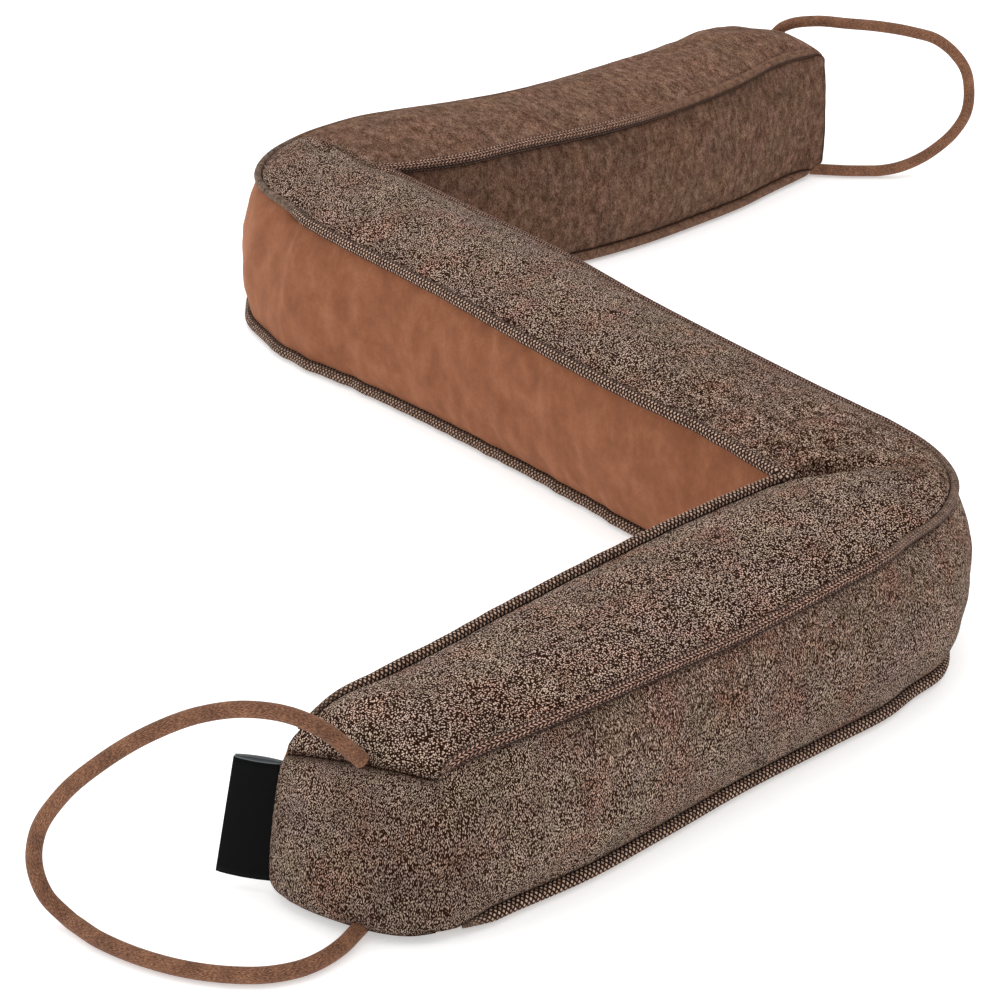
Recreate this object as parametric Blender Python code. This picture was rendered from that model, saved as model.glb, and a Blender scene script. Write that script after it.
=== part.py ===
"""Draught excluder: a box-section bolster that lies on the floor in three runs, bent twice.

One filled solid carries the cover: a top panel, a front panel that wraps round the near end, a
back panel in a contrasting cloth and a panel on the far end. Corded piping follows the long
seams, a cord loop is sewn to each end and a folded tab is sewn to the near end.
Sizes are in millimetres here and become metres where the meshes are made. Z is up.
"""

import math
from typing import NamedTuple

import bpy
import numpy as np

MM = 0.001
PLAN_SHIFT = (-30.1, -161.3)  # moves the middle of the bolster's plan to the origin

# Driving sizes of the bolster, its cover and its trimmings
SHEET = 1.6  # thickness of a cover panel
GAP = 0.3  # clearance between neighbouring pieces
FILLING_GAP = 0.4  # clearance between the cover and the filled body
EDGE_TRIM = 0.24  # how far a panel's cut edge is drawn in from its seam
PIPING_RADIUS = 2.4
PIPING_REST = 3.4  # height of the lower piping's centre
SEAM_WIDTH = 2.75  # from the piping's centre to a panel's edge
SEAM_TUCK = math.radians(20)  # how far a panel's edge turns in under the piping
TOP_ROUND = 2.4  # power of the top panel's curve: higher rises faster from its seams
SIDE_ROUND = 2.4
STATION_STEP = 20.0  # spacing of the cross-sections along a run
CORD_RADIUS = 2.8
CORD_STEP = 7.0

# Each run has its own axis: where it starts in plan and which way it heads
NEAR_AXIS = ((-44.7, -203.5), 44.0)
MIDDLE_AXIS = ((159.4, -6.1), 127.4)
FAR_AXIS = ((-87.2, 316.5), 40.6)


class Section(NamedTuple):
    """A cross-section of a run, in millimetres and degrees."""

    along: float  # distance along the run's axis
    turn: float  # turn of the section from the run's heading
    left: float  # axis to the left top seam
    right: float  # axis to the right top seam
    rise_left: float  # height of the left top seam
    rise_right: float
    crown: float  # rise of the top panel above its seams
    puff_left: float  # bulge of the left side
    puff_right: float
    foot_left: float  # how far the lower seam stands outside the upper one
    foot_right: float
    lift: float  # height of the underside
    nose_top: float = 0.0  # how far the middle bows past the corners along the run, at the top
    nose_foot: float = 0.0  # the same at the foot
    lean_left: float = 0.0  # how far the foot stands past the top along the run
    lean_right: float = 0.0


NEAR_SECTIONS = [
    Section(-2, 13, 35.5, 28.5, 52, 66, 0.6, 0.5, 0.5, 1.3, 1.5, 2.6, -1, -10, -6, -2),
    Section(4, 11, 34.5, 29.5, 59, 68, 4.5, 2.5, 2.5, 2, 2, 0.8, -1, -7, -4, -1),
    Section(14, 7, 32.5, 30, 66, 69, 7, 4, 4, 2, 3, 0, -0.5, -3, -1.5, 0),
    Section(34, 2, 31, 32.5, 68, 70, 8, 5, 5, 1, 2, 0),
    Section(66, 0, 32.5, 35, 68, 70, 8, 5, 6, 1, 3, 0),
    Section(105, 0, 35.5, 36, 68, 69, 8, 5, 6, 1, 2, 0),
    Section(150, 0, 38, 36, 68, 67, 8, 5, 6, 1, 1, 0),
    Section(200, 0, 39, 36, 68, 68, 8, 4, 6, 1, 2.5, 0),
    Section(230, 0, 38, 35, 68, 68.5, 8, 1, 6.5, 0, 4, 0),
]
MIDDLE_SECTIONS = [
    Section(56, 0, 35, 29.7, 68, 67.5, 8, 1, 5, 0, 3, 0),
    Section(87, 0, 33.5, 31.5, 68, 66, 8, 4, 5, -2, 3, 0),
    Section(125, 0, 34.2, 32.5, 67, 65.5, 8, 5, 5, -3, 3, 0),
    Section(200, 0, 34.4, 33.5, 67, 66, 8, 5, 5, -2.5, 2, 0),
    Section(262, 0, 34, 34.5, 68, 68, 8, 5, 5, 1, 1, 0),
    Section(320, 0, 35, 34, 68, 68, 8, 6, 4, 5.5, 1, 0),
    Section(362, 0, 34.8, 33.3, 68, 68, 8, 6.5, 1, 11, 0, 0),
]
FAR_SECTIONS = [
    Section(75, -8, 46.5, 26, 68.5, 68, 9, 5, 1, 4, 1, 0),
    Section(105, -6, 39, 29.5, 68, 68, 8, 5, 4, 2, 2, 0),
    Section(140, -2, 31, 36.5, 68, 68, 8, 5, 5, 1, 3, 0),
    Section(175, 0, 27.5, 40, 68, 68, 8, 5, 5.5, 1, 2.5, 0),
    Section(210, 2, 29, 39.5, 67.5, 68.5, 8.5, 5, 5.5, 1, 2, 0),
    Section(245, 3, 32, 36.5, 66.5, 70, 10.5, 5, 5.5, 1, 2.5, 0),
    Section(273, 3, 34, 32.5, 66, 72, 10.5, 4, 5, 1, 1.5, 0),
    Section(296, 2, 33.5, 31, 65.5, 71, 6.5, 3, 3.5, 1, 0, 0, 2, 2),
    Section(309, 1, 32.5, 30.5, 65, 69, 3.5, 2, 2, 0, 0, 0.8, 3.5, 5, 0, 0.5),
    Section(315, 0, 31, 30, 63.5, 67, 0.6, 0.5, 0.5, 0, 0, 2.6, 3.5, 8, 0, 1),
]


class Bend(NamedTuple):
    """A fold of the bolster about an upright line: the sections fan out from it."""

    centre: tuple  # plan position of that line
    start: float  # heading before the bend, degrees
    end: float  # heading after it
    inner: float  # radius of the inner seam
    puff: float  # bulge of the outer side
    outer: tuple  # radius of the outer top seam at each step of the bend
    feet: tuple  # how far the outer lower seam stands outside it at each step


NEAR_BEND = Bend(
    centre=(104.3, -1.6),
    start=44.0,
    end=127.4,
    inner=5.0,
    puff=9.0,
    outer=(73, 73, 73, 73, 71.5, 70.3, 70),
    feet=(5, 5, 1, -4, -6, -5, -2),
)
FAR_BEND = Bend(
    centre=(-47.5, 326.5),
    start=127.4,
    end=30.0,
    inner=5.0,
    puff=5.5,
    outer=(68, 68.5, 68.5, 68, 67.5, 67, 68.5, 71),
    feet=(12.5, 9.5, 6.5, 4.5, 3, 3, 3, 4),
)
BEND_CROWN = 8.0
BEND_RISE = 68.0  # height of the top seams through a bend
FOLD_PUFF = -2.0  # the inner side is drawn in at the fold
FOLD_CREASE = 0.95  # share of the crown that the top panel's crease takes away
CREASE_SPREAD = 0.8  # how fast the crease fades across the top panel

# Where points stand across a top or bottom face, and up a side
TOP_PARTS = (0.0, 0.1, 0.3, 0.5, 0.7, 0.9, 1.0)
SIDE_PARTS = (0.0, 0.15, 0.5, 0.85, 1.0)
CAP_PUFF = 5.0  # bulge of the two ends
CAP_ROUND = 2.5
BOW_ROUND = 3.0
MITRE_LIMIT = 1.7  # longest inward move at a sharp corner, as a share of the thickness


class Station(NamedTuple):
    """A section placed in plan: its four piping centres and its shape values."""

    corners: np.ndarray  # top left, top right, bottom right, bottom left
    shape: np.ndarray  # crown, puff left, puff right, lift, nose top, nose foot, crease, fold side


def polar(degrees):
    return np.array([math.cos(math.radians(degrees)), math.sin(math.radians(degrees))])


def corner_points(left, right, out, rises, feet, leans=(0.0, 0.0)):
    """The four piping centres of a section, from its two top seams in plan."""
    ahead = np.array([-out[1], out[0]])
    foot_left = left - out * feet[0] + ahead * leans[0]
    foot_right = right + out * feet[1] + ahead * leans[1]
    return np.array(
        [
            [*left, rises[0]],
            [*right, rises[1]],
            [*foot_right, PIPING_REST],
            [*foot_left, PIPING_REST],
        ]
    )


def run_stations(axis, sections):
    """The sections of a straight run, placed in plan."""
    (x, y), heading = axis
    for row in sections:
        middle = np.array([x, y]) + polar(heading) * row.along
        out = polar(heading + row.turn - 90)
        corners = corner_points(
            middle - out * row.left,
            middle + out * row.right,
            out,
            (row.rise_left, row.rise_right),
            (row.foot_left, row.foot_right),
            (row.lean_left, row.lean_right),
        )
        shape = (row.crown, row.puff_left, row.puff_right, row.lift, row.nose_top, row.nose_foot)
        yield Station(corners, np.array([*shape, 0.0, 0.0]))


def bend_stations(bend):
    """The sections of a fold, fanned about its inner seam."""
    centre = np.array(bend.centre)
    turns_left = bend.end > bend.start
    rises = (BEND_RISE, BEND_RISE)
    shares = np.linspace(0, 1, len(bend.outer))
    for share, reach, foot in zip(shares, bend.outer, bend.feet):
        out = polar(bend.start + (bend.end - bend.start) * share - 90)
        crease = FOLD_CREASE * math.sin(math.pi * (0.06 + 0.88 * share)) ** 2
        if turns_left:
            left, right = centre + out * bend.inner, centre + out * reach
            corners = corner_points(left, right, out, rises, (0, foot))
            shape = (BEND_CROWN, FOLD_PUFF, bend.puff, 0, 0, 0, crease, -1)
        else:
            left, right = centre - out * reach, centre - out * bend.inner
            corners = corner_points(left, right, out, rises, (foot, 0))
            shape = (BEND_CROWN, bend.puff, FOLD_PUFF, 0, 0, 0, crease, 1)
        yield Station(corners, np.array(shape, float))


def smooth_rows(knots, rows, places):
    """Values on smooth curves through the rows, which stand at the knots."""
    slopes = np.gradient(rows, knots, axis=0)
    found = []
    for place in places:
        index = min(int(np.searchsorted(knots, place, side="right")) - 1, len(knots) - 2)
        span = knots[index + 1] - knots[index]
        share = (place - knots[index]) / span
        square, cube = share**2, share**3
        found.append(
            rows[index] * (2 * cube - 3 * square + 1)
            + slopes[index] * span * (cube - 2 * square + share)
            + rows[index + 1] * (3 * square - 2 * cube)
            + slopes[index + 1] * span * (cube - square)
        )
    return np.array(found)


def all_stations():
    """Every cross-section of the bolster, from the near end to the far end."""
    rows = [
        *run_stations(NEAR_AXIS, NEAR_SECTIONS),
        *bend_stations(NEAR_BEND),
        *run_stations(MIDDLE_AXIS, MIDDLE_SECTIONS),
        *bend_stations(FAR_BEND),
        *run_stations(FAR_AXIS, FAR_SECTIONS),
    ]
    corners = np.array([row.corners for row in rows])
    corners[:, :, :2] += PLAN_SHIFT
    middles = corners[:, :2, :2].mean(axis=1)
    steps = np.linalg.norm(np.diff(middles, axis=0), axis=1)
    knots = np.concatenate([[0.0], np.cumsum(steps)])
    places = []
    for start, end in zip(knots, knots[1:]):
        pieces = max(1, round((end - start) / STATION_STEP))
        places += [start + (end - start) * piece / pieces for piece in range(pieces)]
    places.append(knots[-1])
    values = np.column_stack([corners.reshape(len(rows), 12), [row.shape for row in rows]])
    smooth = smooth_rows(knots, values, places)
    return [Station(row[:12].reshape(4, 3), row[12:]) for row in smooth]


def rounding(share, power):
    """A bulge's height across its width: 0 at both sides and 1 in the middle."""
    return 1 - abs(2 * share - 1) ** power


def face_points(start, end, out, bulges, parts, power):
    """Points across one face of a section, from beside one piping to beside the next."""
    along = (end - start) / np.linalg.norm(end - start)
    out = out - along * (out @ along)
    out = out / np.linalg.norm(out)
    tuck = SEAM_WIDTH * math.sin(SEAM_TUCK)
    inset = along * SEAM_WIDTH * math.cos(SEAM_TUCK)
    first, last = start + inset - out * tuck, end - inset - out * tuck
    parts = np.array(parts)
    rise = (np.array(bulges) + tuck) * rounding(parts, power)
    return first + np.outer(parts, last - first) + np.outer(rise, out)


def ring_points(station):
    """The cover's outline at a station: top, right side, underside and left side, in turn."""
    top_left, top_right, foot_right, foot_left = station.corners
    crown, puff_left, puff_right, lift, nose_top, nose_foot, crease, fold_side = station.shape
    across = top_right - top_left
    across = np.array([*across[:2], 0.0]) / np.linalg.norm(across[:2])
    ahead = np.array([-across[1], across[0], 0.0])
    parts = np.array(TOP_PARTS)
    # A negative fold side means that the bolster is folded on its left
    from_fold = parts if fold_side < 0 else 1 - parts
    crowns = crown * (1 - crease * (1 - from_fold) ** CREASE_SPREAD)
    upright = np.array([0.0, 0.0, 1.0])
    top = face_points(top_left, top_right, upright, crowns, TOP_PARTS, TOP_ROUND)
    right = face_points(top_right, foot_right, across, puff_right, SIDE_PARTS, SIDE_ROUND)
    under = face_points(foot_right, foot_left, -upright, 0.0, TOP_PARTS, TOP_ROUND)
    under[1:-1, 2] = lift
    under[[0, -1], 2] = np.maximum(under[[0, -1], 2], lift)
    left = face_points(foot_left, top_left, -across, puff_left, SIDE_PARTS, SIDE_ROUND)
    bow = rounding(parts, BOW_ROUND)
    top += np.outer(nose_top * bow, ahead)
    under += np.outer(nose_foot * bow, ahead)
    return np.vstack([top, right, under, left])


TOP_COUNT, SIDE_COUNT = len(TOP_PARTS), len(SIDE_PARTS)
RING_COUNT = 2 * (TOP_COUNT + SIDE_COUNT)
FIRST_RIGHT = TOP_COUNT
FIRST_UNDER = TOP_COUNT + SIDE_COUNT
FIRST_LEFT = 2 * TOP_COUNT + SIDE_COUNT


def grid_faces(rows, flipped):
    """Triangles of a grid whose rows hold point numbers, with None at a missing corner."""
    for upper, lower in zip(rows, rows[1:]):
        for column in range(len(upper) - 1):
            cell = [upper[column], upper[column + 1], lower[column + 1], lower[column]]
            cell = [corner for corner in cell if corner is not None]
            if flipped:
                cell.reverse()
            for place in range(1, len(cell) - 1):
                yield (cell[0], cell[place], cell[place + 1])


class Skin:
    """The bolster's outer surface as one closed grid, from which every cover piece is taken."""

    def __init__(self, stations):
        self.stations = stations
        self.rings = [ring_points(station) for station in stations]
        self.points = [point for ring in self.rings for point in ring]
        self.faces = {"top": [], "right": [], "under": [], "left": [], "seam": []}
        for index in range(len(stations) - 1):
            self._add_band(index * RING_COUNT)
        self._add_cap("near", 0, -1.0, CAP_PUFF)
        self._add_cap("far", len(stations) - 1, 1.0, CAP_PUFF)
        self.points = np.array(self.points)
        self.inward = self._inward_moves()

    def _add_band(self, base):
        """The faces between one ring and the next."""
        kinds = ["top"] * (TOP_COUNT - 1) + ["seam"] + ["right"] * (SIDE_COUNT - 1) + ["seam"]
        kinds += ["under"] * (TOP_COUNT - 1) + ["seam"] + ["left"] * (SIDE_COUNT - 1) + ["seam"]
        for place, kind in enumerate(kinds):
            a, b = base + place, base + (place + 1) % RING_COUNT
            c, d = b + RING_COUNT, a + RING_COUNT
            self.faces[kind] += [(a, b, c), (a, c, d)]

    def _add_cap(self, name, index, side, puff):
        """An end of the bolster: a grid inside the ring, bulging outwards."""
        ring, base = self.rings[index], index * RING_COUNT
        across = ring[TOP_COUNT - 1] - ring[0]
        out = side * np.array([-across[1], across[0], 0.0]) / np.linalg.norm(across[:2])
        tops = [base + place for place in range(TOP_COUNT)]
        feet = [base + FIRST_LEFT - 1 - place for place in range(TOP_COUNT)]
        rights = [base + FIRST_RIGHT + place for place in range(SIDE_COUNT)]
        lefts = [base + RING_COUNT - 1 - place for place in range(SIDE_COUNT)]
        rows = [[None, *tops, None]]
        for left, right in zip(lefts, rights):
            row = [left]
            depths = [self._depth_at(ring, place - base) for place in (left, right)]
            for share, top, foot in zip(TOP_PARTS, tops, feet):
                depth = depths[0] + (depths[1] - depths[0]) * share
                bulge = puff * rounding(share, CAP_ROUND) * rounding(depth, CAP_ROUND)
                high, low = self.points[top], self.points[foot]
                self.points.append(high + (low - high) * depth + out * bulge)
                row.append(len(self.points) - 1)
            rows.append([*row, right])
        rows.append([None, *feet, None])
        self.faces[name] = list(grid_faces(rows, flipped=side < 0))

    def _depth_at(self, ring, place):
        """How far down the end a side's point lies, from 0 at the top to 1 at the foot."""
        high = ring[:TOP_COUNT, 2].mean()
        low = ring[FIRST_UNDER:FIRST_LEFT, 2].mean()
        return min(max((high - ring[place][2]) / (high - low), 0.04), 0.96)

    def _inward_moves(self):
        """For each point, the move that sets every face meeting there in by one unit."""
        normals = []
        for faces in self.faces.values():
            a, b, c = (self.points[np.array(faces)[:, corner]] for corner in range(3))
            crossed = np.cross(b - a, c - a)
            total = np.zeros_like(self.points)
            for corner in range(3):
                np.add.at(total, np.array(faces)[:, corner], crossed)
            normals.append(total / np.maximum(np.linalg.norm(total, axis=1), 1e-9)[:, None])
        moves = np.zeros_like(self.points)
        for place, rows in enumerate(np.swapaxes(normals, 0, 1)):
            rows = rows[np.abs(rows).max(axis=1) > 0]
            move = np.linalg.lstsq(rows, np.ones(len(rows)), rcond=0.05)[0]
            moves[place] = -move / max(1.0, np.linalg.norm(move) / MITRE_LIMIT)
        return moves

    def solid(self, covered):
        """The filled solid under the cover: the skin, set in where a panel lies on it."""
        depth = np.zeros(len(self.points))
        for kind in covered:
            depth[np.unique(self.faces[kind])] = SHEET + FILLING_GAP
        every = [face for faces in self.faces.values() for face in faces]
        return self.points + self.inward * depth[:, None], every

    def sheet(self, kinds):
        """A panel of the cover: part of the skin with its thickness and its cut edges."""
        faces = np.array([face for kind in kinds for face in self.faces[kind]])
        used, local = np.unique(faces, return_inverse=True)
        faces = local.reshape(-1, 3)
        outer = self.points[used].copy()
        sides = {}
        for face in faces:
            for k in range(3):
                sides[(face[k], face[(k + 1) % 3])] = face
        edges = [pair for pair in sides if pair[::-1] not in sides]
        middles = outer[faces].mean(axis=1)
        pull = np.zeros_like(outer)
        for k in range(3):
            np.add.at(pull, faces[:, k], middles - outer[faces[:, k]])
        for point in {end for pair in edges for end in pair}:
            outer[point] += pull[point] / np.linalg.norm(pull[point]) * EDGE_TRIM
        inner = outer + self.inward[used] * SHEET
        count = len(used)
        walls = [(b, a, a + count) for a, b in edges]
        walls += [(b, a + count, b + count) for a, b in edges]
        whole = [tuple(face) for face in faces]
        whole += [tuple(face[::-1] + count) for face in faces]
        return np.vstack([outer, inner]), whole + walls


# Finishes: base colour, roughness
FINISHES = {
    "melange_chenille": ((0.165, 0.118, 0.090), 0.95),
    "rust_microsuede": ((0.330, 0.130, 0.068), 0.85),
    "piping_braid": ((0.110, 0.070, 0.050), 0.85),
    "brown_cord": ((0.210, 0.095, 0.052), 0.80),
    "black_tab": ((0.008, 0.009, 0.010), 0.55),
}


def make_material(name):
    colour, roughness = FINISHES[name]
    material = bpy.data.materials.get(name) or bpy.data.materials.new(name)
    material.use_nodes = True
    shader = material.node_tree.nodes["Principled BSDF"]
    shader.inputs["Base Color"].default_value = (*colour, 1.0)
    shader.inputs["Roughness"].default_value = roughness
    shader.inputs["Metallic"].default_value = 0.0
    return material


def add_object(name, data, finish):
    data.materials.append(make_material(finish))
    thing = bpy.data.objects.new(name, data)
    bpy.context.scene.collection.objects.link(thing)
    return thing


def add_mesh(name, points, faces, finish):
    mesh = bpy.data.meshes.new(name)
    mesh.from_pydata((np.array(points) * MM).tolist(), [], [list(map(int, face)) for face in faces])
    mesh.validate()
    mesh.update()
    mesh.shade_smooth()
    return add_object(name, mesh, finish)


def add_tube(name, points, radius, sides_setting, finish):
    """A round cord as a bevelled curve with closed ends."""
    curve = bpy.data.curves.new(name, "CURVE")
    curve.dimensions = "3D"
    curve.bevel_depth = radius * MM
    curve.bevel_resolution = sides_setting
    curve.use_fill_caps = True
    spline = curve.splines.new("POLY")
    spline.points.add(len(points) - 1)
    for slot, point in zip(spline.points, points):
        slot.co = (*(np.array(point) * MM), 1.0)
    spline.use_smooth = True
    return add_object(name, curve, finish)


# Routes of the two cord loops, chosen by hand from where each leaves its seam
NEAR_LOOP_ROUTE = [
    (-45.1, -207.4, 63),
    (-51.8, -209.5, 70.8),
    (-56.8, -209, 75.2),
    (-68.3, -208, 81.2),
    (-84.8, -206, 83),
    (-100, -204, 79.8),
    (-117, -203, 72.2),
    (-134, -203, 61),
    (-149, -204, 47.5),
    (-157.5, -205, 34),
    (-159.3, -206, 21),
    (-155.3, -208.5, 9.5),
    (-149.5, -211.5, 4.6),
    (-136.2, -224.5, 3.1),
    (-119.5, -235.7, 3.1),
    (-104.5, -242.1, 3.1),
    (-90.9, -245, 3.1),
    (-77.5, -245, 3.1),
    (-66, -241, 3.1),
    (-58.5, -234.8, 3.1),
    (-53, -227.5, 3.1),
    (-49, -219.7, 3.1),
]
FAR_LOOP_ROUTE = [
    (147.8, 535.3, 65.9),
    (150.4, 534, 69.2),
    (155, 531, 72.6),
    (168, 528, 75.3),
    (185.3, 525, 74.9),
    (202.7, 523, 73.9),
    (220.2, 521, 71.3),
    (232, 520, 68),
    (241.8, 518, 60.9),
    (248.5, 516, 51.5),
    (250.4, 513, 41.9),
    (249, 509, 30.4),
    (242.7, 505, 21.1),
    (233.4, 500, 14.2),
    (223.6, 496, 9.2),
    (212.3, 494, 5.2),
    (199.2, 494, 3.1),
    (185.8, 494.2, 3.1),
    (170.7, 496.2, 3.1),
]


def smooth_route(route, step):
    """Evenly spaced points on a smooth curve through a cord's route."""
    rows = np.array(route, float) + np.array([*PLAN_SHIFT, 0.0])
    knots = np.concatenate([[0.0], np.cumsum(np.linalg.norm(np.diff(rows, axis=0), axis=1))])
    fine = smooth_rows(knots, rows, np.linspace(0, knots[-1], 400))
    fine[:, 2] = np.maximum(fine[:, 2], CORD_RADIUS + GAP)
    walked = np.concatenate([[0.0], np.cumsum(np.linalg.norm(np.diff(fine, axis=0), axis=1))])
    even = np.linspace(0, walked[-1], round(walked[-1] / step) + 1)
    return np.column_stack([np.interp(even, walked, fine[:, axis]) for axis in range(3)])


# The folded tab: a strip doubled over and sewn into the upright seam at the near end
TAB_ROOT_HIGH = (-77.0, -185.5, 50.0)
TAB_ROOT_LOW = (-80.4, -189.5, 5.0)
TAB_HEADING = 163.0
TAB_REACH_HIGH = 15.5  # from the seam to the fold, at the top edge
TAB_REACH_LOW = 20.0
TAB_WALL = 1.0
TAB_OPENING = 2.4  # widest space between its two layers
TAB_STEPS = 6


def tab_profile(reach):
    """The folded strip from above, as (distance from the seam, sideways) round its outline."""
    shares = np.linspace(0, 1, TAB_STEPS + 1)
    halves = TAB_OPENING / 2 * np.sin(np.pi * (0.08 + 0.90 * shares)) ** 0.7
    inside = np.column_stack([shares * (reach - TAB_WALL), halves])
    outside = np.column_stack([shares * reach, halves + TAB_WALL])
    mirror = np.array([1.0, -1.0])
    return np.vstack([inside, inside[::-1] * mirror, outside * mirror, outside[::-1]])


def tab_mesh():
    """The folded strip, carried from its top edge to its foot."""
    outward = np.array([*polar(TAB_HEADING), 0.0])
    sideways = np.array([-outward[1], outward[0], 0.0])
    points = []
    for root, reach in ((TAB_ROOT_HIGH, TAB_REACH_HIGH), (TAB_ROOT_LOW, TAB_REACH_LOW)):
        profile = tab_profile(reach)
        flat = np.array(root) + np.array([*PLAN_SHIFT, 0.0])
        points.append(flat + np.outer(profile[:, 0], outward) + np.outer(profile[:, 1], sideways))
    count = len(points[0])
    faces = []
    for place in range(count):
        after = (place + 1) % count
        faces.append((place, place + count, after + count, after))
    for place in range(count // 2 - 1):
        opposite = count - 1 - place
        quad = (place, place + 1, opposite - 1, opposite)
        faces.append(quad)
        faces.append(tuple(corner + count for corner in quad[::-1]))
    return np.vstack(points), faces


def build():
    for thing in list(bpy.data.objects):
        bpy.data.objects.remove(thing, do_unlink=True)
    stations = all_stations()
    skin = Skin(stations)
    points, faces = skin.solid(("top", "right", "left", "near", "far"))
    add_mesh("filled_body", points, faces, "melange_chenille")
    add_mesh("top_panel", *skin.sheet(("top",)), "melange_chenille")
    add_mesh("front_panel", *skin.sheet(("right", "near")), "melange_chenille")
    add_mesh("contrast_panel", *skin.sheet(("left",)), "rust_microsuede")
    add_mesh("far_end_panel", *skin.sheet(("far",)), "melange_chenille")
    for corner, name in enumerate(("top_left", "top_right", "foot_right", "foot_left")):
        path = [station.corners[corner] for station in stations[1:-1]]
        add_tube(f"piping_{name}", path, PIPING_RADIUS, 1, "piping_braid")
    add_tube("near_loop", smooth_route(NEAR_LOOP_ROUTE, CORD_STEP), CORD_RADIUS, 2, "brown_cord")
    add_tube("far_loop", smooth_route(FAR_LOOP_ROUTE, CORD_STEP), CORD_RADIUS, 2, "brown_cord")
    add_mesh("tab", *tab_mesh(), "black_tab")


build()
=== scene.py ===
"""Looks of a draught excluder: a stuffed box-section bolster lying in a zigzag on a pale floor.

The cover's panels, the braid piping, the two cord loops and the folded tab are built on the
sizes of the CAD source, with finer sections. Sizes are in millimetres until a mesh is made.
"""

import logging
import math
from dataclasses import dataclass, field
from enum import Enum
from functools import partial
from typing import Callable, Iterable, NamedTuple, Optional, Sequence, Union

import bpy
import numpy as np
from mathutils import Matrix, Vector, noise


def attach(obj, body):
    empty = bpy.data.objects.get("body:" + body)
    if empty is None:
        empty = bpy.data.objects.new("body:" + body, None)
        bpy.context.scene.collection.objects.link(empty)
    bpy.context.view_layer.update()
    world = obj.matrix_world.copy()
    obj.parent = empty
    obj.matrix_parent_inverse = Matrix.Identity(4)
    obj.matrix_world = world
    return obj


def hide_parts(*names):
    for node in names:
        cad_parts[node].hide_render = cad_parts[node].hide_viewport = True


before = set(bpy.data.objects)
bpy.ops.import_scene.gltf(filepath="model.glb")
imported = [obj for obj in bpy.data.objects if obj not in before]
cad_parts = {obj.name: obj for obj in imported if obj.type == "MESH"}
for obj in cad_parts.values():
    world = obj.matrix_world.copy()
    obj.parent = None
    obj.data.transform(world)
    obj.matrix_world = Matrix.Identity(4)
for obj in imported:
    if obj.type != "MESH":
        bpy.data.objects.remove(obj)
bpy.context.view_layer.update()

LOG = logging.getLogger("draught_excluder")
MM = 0.001
PLAN_SHIFT = (-30.1, -161.3)  # moves the middle of the bolster's plan to the origin
GAP = 0.3  # clearance between a cord and the floor
TIP = 0.4  # how far the closed end of a tube bulges
SHARP = 55  # degrees: cloth that turns further has a hard edge

Number = Union[float, np.ndarray]
Adder = Callable[..., bpy.types.Node]  # adds a node to one material


class Face(Enum):
    """The faces of the bolster's cover."""

    TOP = "top"
    RIGHT = "right"
    UNDER = "under"
    LEFT = "left"
    SEAM = "seam"
    NEAR = "near"
    FAR = "far"


class Nap(Enum):
    """How the pile of the flecked cloth lies on a panel."""

    CURLED = "curled"
    COMBED = "combed"


class Weave(Enum):
    """How the threads of the piping braid cross."""

    PLAIT = "plait"
    LATTICE = "lattice"


# ---------------------------------------------------------------------------
# Small tools
# ---------------------------------------------------------------------------


def polar(degrees: float) -> np.ndarray:
    """A unit vector in plan.

    Args:
        degrees: heading, anticlockwise from +X.

    Returns:
        The vector's x and y.
    """
    return np.array([math.cos(math.radians(degrees)), math.sin(math.radians(degrees))])


def ease(value: Number, low: float, high: float) -> Number:
    """A smooth step.

    Args:
        value: what is measured.
        low: where the step starts.
        high: where it ends.

    Returns:
        0 at low, 1 at high and a smooth rise between.
    """
    share = np.clip((np.asarray(value, float) - low) / (high - low), 0.0, 1.0)
    return share * share * (3.0 - 2.0 * share)


def bell(away: Number, spread: Number) -> Number:
    """How strong something local is.

    Args:
        away: distance from its middle.
        spread: the distance at which a little over a third of it is left.

    Returns:
        1 in the middle, falling smoothly to nearly 0 at twice the spread.
    """
    return np.exp(-((away / spread) ** 2))


def unit(vectors: np.ndarray) -> np.ndarray:
    """The same vectors at a length of one."""
    return vectors / np.linalg.norm(vectors, axis=-1, keepdims=True)


def rounding(share: np.ndarray, power: float) -> np.ndarray:
    """A bulge's height across its width.

    Args:
        share: place across, from 0 to 1.
        power: higher makes the bulge flatter in the middle and steeper at its sides.

    Returns:
        0 at both sides and 1 in the middle.
    """
    return 1.0 - np.abs(2.0 * np.asarray(share, float) - 1.0) ** power


class Wave(NamedTuple):
    """Smooth irregular waves."""

    height: float
    length: float  # rough distance from crest to crest
    seed: float  # picks one pattern
    apart: float = 17.31  # from one seed's part of the noise to the next one's
    gain: float = 1.6  # brings the noise to a height of about one


def ripple(places: np.ndarray, wave: Wave) -> np.ndarray:
    """Heights of irregular waves.

    Args:
        places: rows of one to three coordinates, in millimetres.
        wave: the waves.

    Returns:
        A height for each row, up and down.
    """
    rows = np.zeros((len(places), 3))
    rows[:, : places.shape[1]] = places
    rows = rows * (2.0 / wave.length) + wave.seed * wave.apart
    return wave.height * wave.gain * np.array([noise.noise(Vector(row)) for row in rows])


def smooth_rows(knots: np.ndarray, rows: np.ndarray, places: np.ndarray) -> np.ndarray:
    """Values on smooth curves through given rows.

    Args:
        knots: where the rows stand, rising.
        rows: one row of values for each knot.
        places: where values are wanted.

    Returns:
        One row for each place.
    """
    slopes = np.gradient(rows, knots, axis=0)
    index = np.clip(np.searchsorted(knots, places, side="right") - 1, 0, len(knots) - 2)
    span = (knots[index + 1] - knots[index])[:, None]
    share = (places - knots[index])[:, None] / span
    square, cube = share**2, share**3
    return (
        rows[index] * (2 * cube - 3 * square + 1)
        + slopes[index] * span * (cube - 2 * square + share)
        + rows[index + 1] * (3 * square - 2 * cube)
        + slopes[index + 1] * span * (cube - square)
    )


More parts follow.
